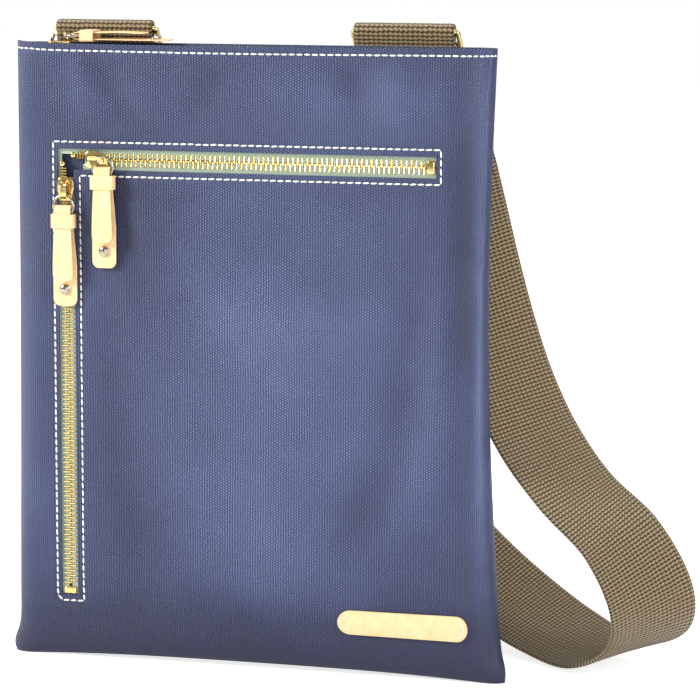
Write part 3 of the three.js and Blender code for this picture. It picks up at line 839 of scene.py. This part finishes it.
def flat_cloth(cuts_u=(), cuts_v=()):
    bm = bmesh.new()
    bmesh.ops.create_grid(bm, x_segments=104, y_segments=128, size=1)
    bmesh.ops.scale(bm, vec=(U_MAX, (HEIGHT - V_MIN) / 2, 1), verts=bm.verts)
    bmesh.ops.translate(bm, vec=(0, (HEIGHT + V_MIN) / 2, 0), verts=bm.verts)
    for axis, cuts in ((Vector((1, 0, 0)), cuts_u), (Vector((0, 1, 0)), cuts_v)):
        for at in cuts:
            everything = bm.verts[:] + bm.edges[:] + bm.faces[:]
            bmesh.ops.bisect_plane(bm, geom=everything, dist=0.02, plane_co=axis * at, plane_no=axis)
    return bm


def in_mouth(u, v):
    across = POCKET["left"] < u < POCKET["right"] and POCKET["under"] < v < POCKET["top"]
    down = POCKET["left"] < u < POCKET["inner"] and POCKET["bottom"] < v < POCKET["top"]
    return across or down


def finish_cloth(made, thickness, rim):
    wall = made.modifiers.new("thickness", "SOLIDIFY")
    wall.thickness = thickness * MM
    wall.offset = -1
    turned_edge = made.modifiers.new("turned_edge", "BEVEL")
    turned_edge.width = rim * MM
    turned_edge.segments = 3
    turned_edge.limit_method = "ANGLE"
    turned_edge.angle_limit = math.radians(60)
    return made


def panel(name, node_name, relief, dents, place, cuts_u=(), cuts_v=(), mouth=False, mirrored=False):
    bm = flat_cloth(cuts_u, cuts_v)
    if mouth:
        opening = [f for f in bm.faces if in_mouth(*f.calc_center_median().xy)]
        bmesh.ops.delete(bm, geom=opening, context="FACES")
    uv = uv_layer(bm)
    for face in bm.faces:
        for loop in face.loops:
            loop[uv].uv = loop.vert.co.xy
    # the relief is kept for the canvas colour, where it becomes wear on the folds plus painted highlight
    # and painted shade
    fold_wear_and_shade = bm.verts.layers.float.new("fold_wear_and_shade")
    for vert in bm.verts:
        vert[fold_wear_and_shade] = relief(vert.co.x, max(vert.co.y, 0))
        vert.co = on_canvas(vert.co.x, vert.co.y, relief=relief, dents=dents, mirrored=mirrored)
    made = piece(name, bm, CANVAS, "bag", [node_name], place=place, crisp=0, outward=False)
    return finish_cloth(made, CANVAS_T, 0.45)


def beside(*lines):
    return [line + step for line in lines for step in (-1.5, -0.7, 0, 0.7, 1.5)]


mouth_u = [POCKET["left"], POCKET["inner"], POCKET["right"]]
mouth_v = [POCKET["top"], POCKET["under"], POCKET["bottom"]]
stitched_u = beside(PLACKET["left"], PLACKET["inner"], PLACKET["right"])
stitched_v = beside(PLACKET["top"], PLACKET["under"], PLACKET["bottom"], HEM_Z)
front = panel("canvas_front", "front_panel", face_relief, stitch_dent, Matrix.Identity(4),
              mouth_u + stitched_u, mouth_v + stitched_v, mouth=True)
panel("canvas_back", "back_panel", back_relief, lambda x, z: SEWN * bell(z, HEM_Z, 1.3),
      turned(180, "Z"), cuts_v=beside(HEM_Z), mirrored=True)
print("front panel:", len(front.data.polygons), "faces")

# %% [markdown]
# ## Inside the pocket
#
# Where the two zips meet, their chains part and a triangle of navy facing shows behind them. The
# linings hang flat behind the face. All of them are plain sheets with a slight wave.

# %% facing and linings
def sheet(name, low, high, y, finish, replaces, thickness, wave=0.15, place=ON_FACE):
    """A hanging sheet between two corners in x and z, at depth y behind the face."""
    bm = bmesh.new()
    bmesh.ops.create_grid(bm, x_segments=24, y_segments=24, size=0.5)
    uv = uv_layer(bm)
    for vert in bm.verts:
        x = low[0] + (vert.co.x + 0.5) * (high[0] - low[0])
        z = low[1] + (vert.co.y + 0.5) * (high[1] - low[1])
        vert.co = (x, y + wave * noise.noise(Vector((x / 30, z / 30, 5))), z)
    for face in bm.faces:
        for loop in face.loops:
            loop[uv].uv = loop.vert.co.xz
    made = piece(name, bm, finish, "bag", replaces, place=place, crisp=0, outward=False)
    wall = made.modifiers.new("thickness", "SOLIDIFY")
    wall.thickness = thickness * MM
    wall.offset = 0
    return made


sheet("pocket_facing", (-104, 222), (-66, 262), 5.2, CANVAS, [], 0.5)
sheet("pocket_lining", (-106, 17), (106, 267), 7.25, LINING, ["front_pocket_lining"], 0.3)
sheet("lining_front", (-106, 17), (106, 283), 8.15, LINING, ["main_lining_front"], 0.3)
sheet("lining_back", (-106, 17), (106, 283), 2.1, LINING, ["main_lining_back"], 0.3,
      place=turned(180, "Z") @ ON_FACE)

# %% [markdown]
# ## Zips
#
# Each zip is made lying along X with its face toward -Y and then put in its place. A metal zip's
# tooth is a small stamping that straddles the tape's edge with two legs and meets its neighbours
# with a rounded head, and the two rows are half a pitch apart so that the heads interlock. One
# tooth is two bevelled blocks, and the rows repeat it. The slider is a hexagonal plate under
# a leaf-shaped bridge, with turned-down flanges, a post and a back plate.

# %% teeth and tapes
PITCH = 2.43
LOOSE_PITCH = 1.35
TAPE_EDGE = 0.9
HIDDEN_START = 4.5
TAPE_Y = 1.7
TAPE_T = 0.6
CHAIN_Y = 0.9
CHAIN_T = 2.2


def block(bm, low, high, radius=0.0, segments=1):
    """A box from its corners with rounded edges, added to the bmesh."""
    size = Vector(high) - Vector(low)
    middle = (Vector(high) + Vector(low)) / 2
    place = Matrix.Translation(middle) @ Matrix.Diagonal((*size, 1))
    made = bmesh.ops.create_cube(bm, size=1, matrix=place)["verts"]
    if radius:
        edges = list({e for v in made for e in v.link_edges})
        bmesh.ops.bevel(bm, geom=edges, offset=radius, affect="EDGES", segments=segments, profile=0.5,
                        material=-1, clamp_overlap=True)


def tooth_mesh(up):
    bm = bmesh.new()
    legs = sorted((up * 1.2, up * 3.3))
    head = sorted((up * -0.62, up * 1.35))
    block(bm, (-0.5, CHAIN_Y, legs[0]), (0.5, CHAIN_Y + CHAIN_T, legs[1]), 0.22)
    block(bm, (-0.56, CHAIN_Y + 0.1, head[0]), (0.56, CHAIN_Y + CHAIN_T - 0.1, head[1]), 0.26)
    mesh = bpy.data.meshes.new("tooth")
    bm.to_mesh(mesh)
    bm.free()
    return mesh


def teeth_row(start, stop, up, shift, tooth):
    bm = bmesh.new()
    first = math.ceil((start - shift) / PITCH)
    last = math.floor((stop - shift) / PITCH)
    for k in range(first, last + 1):
        known = len(bm.verts)
        bm.from_mesh(tooth)
        bm.verts.ensure_lookup_table()
        bmesh.ops.translate(bm, vec=(shift + k * PITCH, 0, 0), verts=bm.verts[known:])
    return bm


def loose_teeth(bm, start, stop, up):
    """The closer row of parted teeth between a stop and the slider."""
    loose = tooth_mesh(up)
    for k in range(int((stop - start - 0.6) / LOOSE_PITCH) + 1):
        known = len(bm.verts)
        bm.from_mesh(loose)
        bm.verts.ensure_lookup_table()
        place = moved(start + 0.7 + LOOSE_PITCH * k, -0.3, up * 0.5) @ Matrix.Diagonal((0.8, 1, 1, 1))
        bmesh.ops.transform(bm, matrix=place, verts=bm.verts[known:])


def tape(start, stop, inner, outer, up, opened):
    """A woven strip with a thicker bead along its toothed edge, drawn back where the zip is open."""
    bm = bmesh.new()
    steps = max(2, round((stop - start) / 4))
    bmesh.ops.create_grid(bm, x_segments=steps, y_segments=12, size=0.5)
    uv = uv_layer(bm)
    across = [inner, inner + 0.35, inner + 0.8, inner + 1.2, outer, outer, outer,
              inner + 1.2, inner + 0.8, inner + 0.35, inner, inner, inner]
    level = [0.55, 0.62, 0.45, 0.3, 0.3, 0.0, -0.3, -0.3, -0.45, -0.62, -0.55, 0.0, 0.55]
    for face in bm.faces:
        for loop in face.loops:
            i = round((loop.vert.co.y + 0.5) * 12)
            loop[uv].uv = (start + (loop.vert.co.x + 0.5) * (stop - start), across[i])
    for vert in bm.verts:
        i = round((vert.co.y + 0.5) * 12)
        x = start + (vert.co.x + 0.5) * (stop - start)
        parted = 1.6 * (1 - ease(x, opened - 2, opened + 3)) if i not in (4, 5, 6) else 0
        vert.co = (x, TAPE_Y + TAPE_T / 2 - level[i], up * (across[i] + parted))
    bmesh.ops.remove_doubles(bm, verts=bm.verts, dist=0.001)
    bmesh.ops.edgeloop_fill(bm, edges=[e for e in bm.edges if e.is_boundary])
    return bm


# %% where the three zips are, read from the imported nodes
def run_of(node_name, axis):
    """Start and end of a node along its zip: +X, or down for the side pocket."""
    low, high = corners(node_name)
    return (low.x, high.x) if axis == "x" else (-high.z, -low.z)


ZIP_Z = 249.9
ZIP_X = -93.7
ZIPS = {
    "top_pocket": {"place": ON_FACE @ moved(z=ZIP_Z), "axis": "x",
                   "halves": ("upper", "lower"), "reach": 11.8},
    "side_pocket": {"place": ON_FACE @ moved(x=ZIP_X) @ turned(90, "Y"), "axis": "down",
                    "halves": ("inner", "outer"), "reach": 11.8},
    "main": {"place": moved(z=HEIGHT) @ turned(-90, "X"), "axis": "x",
             "halves": ("back", "front"), "reach": 5.7},
}
for prefix, data in ZIPS.items():
    slider_from, _ = run_of(f"{prefix}_slider", data["axis"])
    for up, half in zip((1, -1), data["halves"]):
        start, stop = run_of(f"{prefix}_tape_{half}", data["axis"])
        start += HIDDEN_START if half in ("lower", "inner") else 0
        bm = tape(start, stop, TAPE_EDGE, data["reach"], up, slider_from)
        piece(f"{prefix}_zip_tape_{half}", bm, TAPE, "bag", [f"{prefix}_tape_{half}"],
              data["place"], crisp=40)
        start, stop = run_of(f"{prefix}_teeth_{half}", data["axis"])
        bm = teeth_row(slider_from, stop - 0.4, up, PITCH / 2 * (up > 0), tooth_mesh(up))
        if start < slider_from:
            loose_teeth(bm, start, slider_from, up)
        piece(f"{prefix}_zip_teeth_{half}", bm, BRASS, "bag", [f"{prefix}_teeth_{half}"],
              data["place"], crisp=35)
    for end in ("top", "bottom"):
        softened(f"{prefix}_{end}_stop", f"{prefix}_zip_{end}_stop", 0.7, BRASS, "bag", 3)
print("zips:", list(ZIPS))


# %% sliders
SLIDER_L = 11.5


def plate(bm, outline, y0, y1, radius):
    """A flat shape in X and Z, from y0 to y1, with rounded edges."""
    rim = [bm.verts.new((x, y0, z)) for x, z in outline]
    face = bm.faces.new(rim)
    grown = bmesh.ops.extrude_face_region(bm, geom=[face])["geom"]
    top = [v for v in grown if isinstance(v, bmesh.types.BMVert)]
    bmesh.ops.translate(bm, vec=(0, y1 - y0, 0), verts=top)
    verts = set(rim) | set(top)
    edges = [e for e in bm.edges if e.verts[0] in verts and e.verts[1] in verts]
    bmesh.ops.bevel(bm, geom=edges, offset=radius, affect="EDGES", segments=3, profile=0.5, material=-1,
                    clamp_overlap=True)


def slider_outline(wide):
    """The wide end takes both rows and the narrow end gives out the closed chain."""
    nose = SLIDER_L / 2
    half = [(-nose, 2.7), (-5.0, wide / 2 - 0.7), (-3.9, wide / 2), (-0.4, wide / 2), (5.2, 3.2),
            (nose, 2.5)]
    return half + [(x, -z) for x, z in reversed(half)]


def bridge(bm):
    """A leaf of metal that arches over the ring, narrow at its feet and dished along its middle."""
    made = bmesh.ops.create_grid(bm, x_segments=18, y_segments=6, size=1)["verts"]
    for vert in made:
        x, across = vert.co.x, vert.co.y
        half = 0.8 + 1.25 * (1 - abs(x) ** 2.2)
        rise = 5.0 * (1 - abs(x) ** 4.5)
        dish = 0.5 * (1 - across ** 2) * (1 - abs(x) ** 3)
        vert.co = (x * 5.0, -0.2 - rise + dish, across * half)
    faces = list({f for v in made for f in v.link_faces})
    bmesh.ops.recalc_face_normals(bm, faces=faces)
    bmesh.ops.solidify(bm, geom=faces, thickness=0.9)


def slider():
    bm = bmesh.new()
    front_y = CHAIN_Y - 0.3 - 1.3
    back_y = CHAIN_Y + CHAIN_T + 0.3
    plate(bm, slider_outline(8.6), front_y, front_y + 1.3, 0.4)
    plate(bm, slider_outline(8.0), back_y, back_y + 1.2, 0.35)
    for side in (1, -1):
        low, high = sorted((side * 3.45, side * 4.15))
        block(bm, (-4.2, front_y + 0.7, low), (0.2, CHAIN_Y + 0.7, high), 0.2)
        block(bm, (-4.2, CHAIN_Y + CHAIN_T - 0.7, low), (0.2, back_y + 0.5, high), 0.2)
    block(bm, (-5.6, front_y + 0.5, -0.38), (-0.4, back_y + 0.5, 0.38), 0.1)
    bridge(bm)
    return bm


# %% rings, pulls, keepers and rivets
RING_R = 5.1
PULL_WIRE = 1.3
PULL = {"up": 3.6, "back": 44.2, "front": 31.6, "back_w": 12.2, "front_w": 10.4, "neck_w": 8.2,
        "corner": 3.4}
FOLD_MID = PULL_WIRE / 2 + 0.2 + 0.5
LEATHER_T = 1.0


def lathe(bm, edges, steps):
    bmesh.ops.spin(bm, geom=edges, cent=(0, 0, 0), axis=(0, 1, 0), angle=2 * math.pi, steps=steps,
                   use_merge=True)


def pull_ring():
    bm = bmesh.new()
    circle = bmesh.ops.create_circle(bm, segments=14, radius=PULL_WIRE / 2, matrix=moved(x=RING_R))["verts"]
    edges = list({e for v in circle for e in v.link_edges})
    lathe(bm, edges, 48)
    return bm


def round_end(half, left, corner=PULL["corner"]):
    """Half width at a distance left from the end of a strip with round corners."""
    if left >= corner:
        return half
    return half - corner + math.sqrt(max(corner ** 2 - (corner - left) ** 2, 0))


def spread(layer, share):
    """Half width of a layer, which widens from the neck to its full width as share goes 0 to 1."""
    return PULL["neck_w"] / 2 + (PULL[layer] - PULL["neck_w"]) / 2 * min(max(share, 0), 1)


def folded_leather():
    """A strip folded over the wire at the origin, both layers hanging toward -Z."""
    rows = []
    for d in (0, 0.1, 0.4, 0.9, 1.6, 2.5, 3.4, 8, 14, 20, 24, 27, 29, PULL["front"]):
        z = d - PULL["front"]
        half = round_end(spread("front_w", -z / 26), d)
        rows.append((-FOLD_MID - 0.4 * bell(z, -18, 8), z, half, 0))
    for k in range(0, 9):
        a = math.pi * k / 8
        rows.append((-FOLD_MID * math.cos(a), PULL["up"] + FOLD_MID * math.sin(a), PULL["neck_w"] / 2, 0))
    for d in (PULL["back"], 41, 38, 34, 30, 26, 20, 14, 8, 3.4, 2.5, 1.6, 0.9, 0.4, 0.1, 0):
        z = d - PULL["back"]
        half = round_end(spread("back_w", -z / 24), d)
        rows.append((FOLD_MID, z, half, 0))
    bm = bmesh.new()
    count = len(rows) - 1
    bmesh.ops.create_grid(bm, x_segments=count, y_segments=8, size=0.5)
    for vert in bm.verts:
        y, z, half, shift = rows[round((vert.co.x + 0.5) * count)]
        vert.co = (shift + vert.co.y * 2 * half, y, z)
    bmesh.ops.recalc_face_normals(bm, faces=bm.faces)
    bmesh.ops.solidify(bm, geom=bm.faces[:], thickness=-LEATHER_T / 2)
    return bm


def keeper_band():
    bm = bmesh.new()
    deep = PULL_WIRE / 2 + 0.2 + LEATHER_T + 0.25 + 0.7
    block(bm, (-5.9, -deep, -5.7), (5.9, deep, 1.1))
    ends = [f for f in bm.faces if abs(f.normal.z) > 0.9]
    bmesh.ops.delete(bm, geom=ends, context="FACES_ONLY")
    uprights = [e for e in bm.edges if abs(e.verts[0].co.z - e.verts[1].co.z) > 1]
    bmesh.ops.bevel(bm, geom=uprights, offset=1.1, affect="EDGES", segments=4, profile=0.5, material=-1)
    bmesh.ops.recalc_face_normals(bm, faces=bm.faces)
    bmesh.ops.solidify(bm, geom=bm.faces[:], thickness=0.7)
    rims = [e for e in bm.edges if e.calc_face_angle(0) > math.radians(60)]
    bmesh.ops.bevel(bm, geom=rims, offset=0.15, affect="EDGES", segments=2, profile=0.5, material=-1)
    return bm


def rivet():
    bm = bmesh.new()
    profile = [(0, 1.2), (0.8, 1.15), (1.5, 0.97), (2.05, 0.68), (2.45, 0.38), (2.68, 0.1), (2.7, 0),
               (2.5, -0.1), (1.0, -0.1), (1.0, -1.5), (2.0, -1.5), (2.0, -1.9), (0, -1.9)]
    verts = [bm.verts.new((r, -h, 0)) for r, h in profile]
    edges = [bm.edges.new(pair) for pair in zip(verts, verts[1:])]
    lathe(bm, edges, 28)
    bmesh.ops.remove_doubles(bm, verts=bm.verts, dist=0.001)
    return bm


RIVET_Z = -35.9
RING_Y = -3.5
for prefix, data in ZIPS.items():
    along = run_of(f"{prefix}_slider", data["axis"])
    at = data["place"] @ moved(x=sum(along) / 2)
    piece(f"{prefix}_zip_slider", slider(), BRASS, f"{prefix}_slider", [f"{prefix}_slider"], at, crisp=40)
    hangs_down = prefix == "top_pocket"
    at = at @ (moved(4.4, RING_Y, -3.3) if hangs_down else moved(7.8, RING_Y, 0) @ turned(-90, "Y"))
    body = f"{prefix}_pull"
    piece(f"{prefix}_ring", pull_ring(), NICKEL, body, [f"{prefix}_pull_ring"], at, crisp=0)
    at = at @ moved(z=-RING_R)
    leather = piece(f"{prefix}_leather", folded_leather(), LEATHER, body,
                    [f"{prefix}_pull_leather"], at, crisp=40)
    edge = leather.modifiers.new("cut_edge", "BEVEL")
    edge.width = 0.22 * MM
    edge.segments = 2
    edge.limit_method = "ANGLE"
    edge.angle_limit = math.radians(50)
    piece(f"{prefix}_keeper", keeper_band(), LEATHER, body, [f"{prefix}_pull_keeper"], at)
    seat = at @ moved(y=PULL_WIRE / 2 + 0.2 - 0.1, z=RIVET_Z)
    piece(f"{prefix}_rivet", rivet(), NICKEL, body, [f"{prefix}_pull_rivet"], seat, crisp=40)
print("pulls done")

# %% [markdown]
# ## Label
#
# The label is a strip of the same leather with round ends, sewn at both ends. It is laid on the
# canvas point by point, so that it follows the surface.

# %% label
LABEL = {"x": 76.8, "z": 27.4, "length": 65.0, "width": 13.0, "thick": 1.4}


def stadium(length, width, steps=14):
    r = width / 2
    points = []
    for side in (1, -1):
        for k in range(steps + 1):
            a = math.pi * k / steps - math.pi / 2
            points.append((side * (length / 2 - r + r * math.cos(a)), side * r * math.sin(a)))
    return points


def label():
    bm = bmesh.new()
    rim = [bm.verts.new((x, 0, z)) for x, z in stadium(LABEL["length"], LABEL["width"])]
    face = bm.faces.new(rim)
    bmesh.ops.extrude_face_region(bm, geom=[face])
    bm.faces.ensure_lookup_table()
    top = bm.faces[-1] if len(bm.faces[-1].verts) == len(rim) else face
    bmesh.ops.translate(bm, vec=(0, -LABEL["thick"], 0), verts=top.verts)
    bmesh.ops.bevel(bm, geom=top.edges[:], offset=0.3, affect="EDGES", segments=3, profile=0.5, material=-1)
    bmesh.ops.triangulate(bm, faces=[f for f in bm.faces if len(f.verts) > 4])
    for vert in bm.verts:
        x, z = LABEL["x"] + vert.co.x, LABEL["z"] + vert.co.z
        vert.co = on_canvas(x, z, lift=0.1 - vert.co.y)
    return bm


piece("leather_label", label(), LEATHER, "bag", ["label"], crisp=40)

# %% [markdown]
# ## Stitches
#
# Topstitching is a row of short, plump stitches of thick thread. Each is a small ball stretched
# along the seam and sunk a little at its ends, all in one mesh for each seam. The rows follow the
# same surface function as the canvas, so they lie on it.

# %% stitch maker
STITCH = 3.8
STITCH_LONG = 3.25
STITCH_THICK = 0.95


def stitches(path, surface, pitch=STITCH, long=STITCH_LONG, thick=STITCH_THICK, lean=0.0):
    """Stitches along a flat path of straight runs; surface puts a flat point in space."""
    bm = bmesh.new()
    for (ax, az), (bx, bz) in zip(path, path[1:]):
        run = math.hypot(bx - ax, bz - az)
        count = max(1, round(run / pitch))
        for k in range(count):
            t = (k + 0.5) / count
            wobble = 0.10 * noise.noise(Vector((ax + k * 1.7, az, 2.0)))
            px = ax + (bx - ax) * t - (bz - az) / run * wobble
            pz = az + (bz - az) * t + (bx - ax) / run * wobble
            half = 0.5 * long / pitch * run / count
            slant = lean * (1 if k % 2 else 0.6)
            dx = (bx - ax) / run * half - (bz - az) / run * slant
            dz = (bz - az) / run * half + (bx - ax) / run * slant
            a = surface(px - dx, pz - dz)
            b = surface(px + dx, pz + dz)
            middle = surface(px, pz)
            direction = (b - a).normalized()
            size = Matrix.Diagonal(((b - a).length / 2, thick / 2 * 0.85, thick / 2, 1))
            turn = direction.to_track_quat("X", "Z").to_matrix().to_4x4()
            bmesh.ops.create_uvsphere(bm, u_segments=8, v_segments=6, radius=1,
                                      matrix=Matrix.Translation(middle) @ turn @ size @ turned(90, "Y"))
    return bm


def raised(x, z):
    return on_canvas(x, z, lift=0.22)


# %% the rows of stitches
P = PLACKET
window = [(P["inner"], P["bottom"]), (P["inner"], P["under"]),
          (P["right"], P["under"]), (P["right"], P["top"]),
          (P["left"], P["top"]), (P["left"], P["bottom"] + 2.5),
          (P["left"] + 2.5, P["bottom"]), (P["inner"], P["bottom"])]
piece("pocket_stitching", stitches(window, raised, lean=0.12), THREAD, "bag", crisp=0)
hem_edge = U_MAX - 3
hem = [(-hem_edge, HEM_Z), (hem_edge, HEM_Z)]
piece("hem_stitching_front", stitches(hem, raised), THREAD, "bag", crisp=0)


def raised_back(x, z):
    return turned(180, "Z") @ on_canvas(x, z, lift=0.22, relief=back_relief, dents=lambda x, z: SEWN,
                                         mirrored=True)


piece("hem_stitching_back", stitches(hem, raised_back), THREAD, "bag", crisp=0)


def raised_label(x, z):
    return on_canvas(x, z, lift=0.1 + LABEL["thick"] + 0.1)


for side, sign in (("left", -1), ("right", 1)):
    arc = []
    for k in range(7):
        a = math.radians(-72 + 24 * k)
        reach = LABEL["length"] / 2 - LABEL["width"] / 2
        arc.append((LABEL["x"] + sign * (reach + 4.4 * math.cos(a)), LABEL["z"] + 4.4 * math.sin(a)))
    piece(f"label_stitching_{side}", stitches(arc, raised_label, 1.9, 1.5, 0.7), THREAD, "bag", crisp=0)


# %% [markdown]
# The strap tabs are sewn to the back panel through a box with a cross in it, in the same thread.

# %% tab stitching
def box_with_cross(x, half_w, top, bottom):
    return [(x - half_w, bottom), (x - half_w, top), (x + half_w, top), (x + half_w, bottom),
            (x - half_w, bottom), (x + half_w, top), (x + half_w, bottom), (x - half_w, top)]


def behind_tab(x, z):
    return Vector((x, BAR.y + LEG_GAP / 2 + WEB_T + 0.2, z))


for side, x in TAB_X.items():
    path = box_with_cross(x, TAB_W / 2 - 4, HEIGHT - 4, BAR.z - 34)
    piece(f"tab_stitching_{side}", stitches(path, behind_tab), THREAD, "bag", crisp=0)

# %% [markdown]
# ## Studio
#
# A white floor and a white surround make the plain studio. A strong soft light from the upper left
# shapes the face, a weaker one fills from the front right, one shines down from above, and a tall
# strip at either side catches the turned edges. The surround and the floor look whiter to the
# camera than they are as light, which keeps the background clean and leaves the face its shading.

# %% floor and lights
def studio_floor():
    bm = bmesh.new()
    bmesh.ops.create_grid(bm, x_segments=1, y_segments=1, size=6)
    mesh = bpy.data.meshes.new("floor")
    bm.to_mesh(mesh)
    bm.free()
    mat, surface = shader("studio_floor", Roughness=0.6, Specular_IOR_Level=0.2)
    surface.inputs["Base Color"].default_value = (0.9, 0.9, 0.9, 1)
    surface.inputs["Emission Color"].default_value = (1, 1, 1, 1)
    seen = node(mat, "ShaderNodeLightPath").outputs["Is Camera Ray"]
    mat.node_tree.links.new(rescale(mat, seen, 0, 1, 0.05, 0.72), surface.inputs["Emission Strength"])
    mesh.materials.append(mat)
    made = bpy.data.objects.new("floor", mesh)
    scene.collection.objects.link(made)


def soft_light(name, place, size, power, aim=Vector((0.02, 0, 0.15)), colour=(1, 1, 1)):
    data = bpy.data.lights.new(name, "AREA")
    data.shape = "RECTANGLE"
    data.size, data.size_y = size
    data.energy = power
    data.color = colour
    made = bpy.data.objects.new(name, data)
    made.location = place
    made.rotation_euler = (aim - Vector(place)).to_track_quat("-Z", "Y").to_euler()
    scene.collection.objects.link(made)


studio_floor()
soft_light("key", (-1.5, -1.0, 1.1), (0.6, 0.6), 46)
soft_light("fill", (0.7, -1.8, 0.5), (1.2, 0.8), 6)
soft_light("strip_left", (-1.2, 0.25, 0.4), (0.3, 1.2), 4)
soft_light("strip_right", (1.2, -0.3, 0.4), (0.12, 1.2), 11)
soft_light("top", (0, 0.4, 1.8), (1.2, 1.0), 16)
world = bpy.data.worlds.new("white_surround")
world.use_nodes = True
background = world.node_tree.nodes["Background"]
seen = world.node_tree.nodes.new("ShaderNodeLightPath").outputs["Is Camera Ray"]
level = world.node_tree.nodes.new("ShaderNodeMapRange")
level.inputs["To Min"].default_value = 0.3
level.inputs["To Max"].default_value = 1.0
world.node_tree.links.new(seen, level.inputs["Value"])
world.node_tree.links.new(level.outputs["Result"], background.inputs["Strength"])
background.inputs["Color"].default_value = (1, 1, 1, 1)
scene.world = world
scene.view_settings.view_transform = "Standard"
scene.view_settings.look = "None"
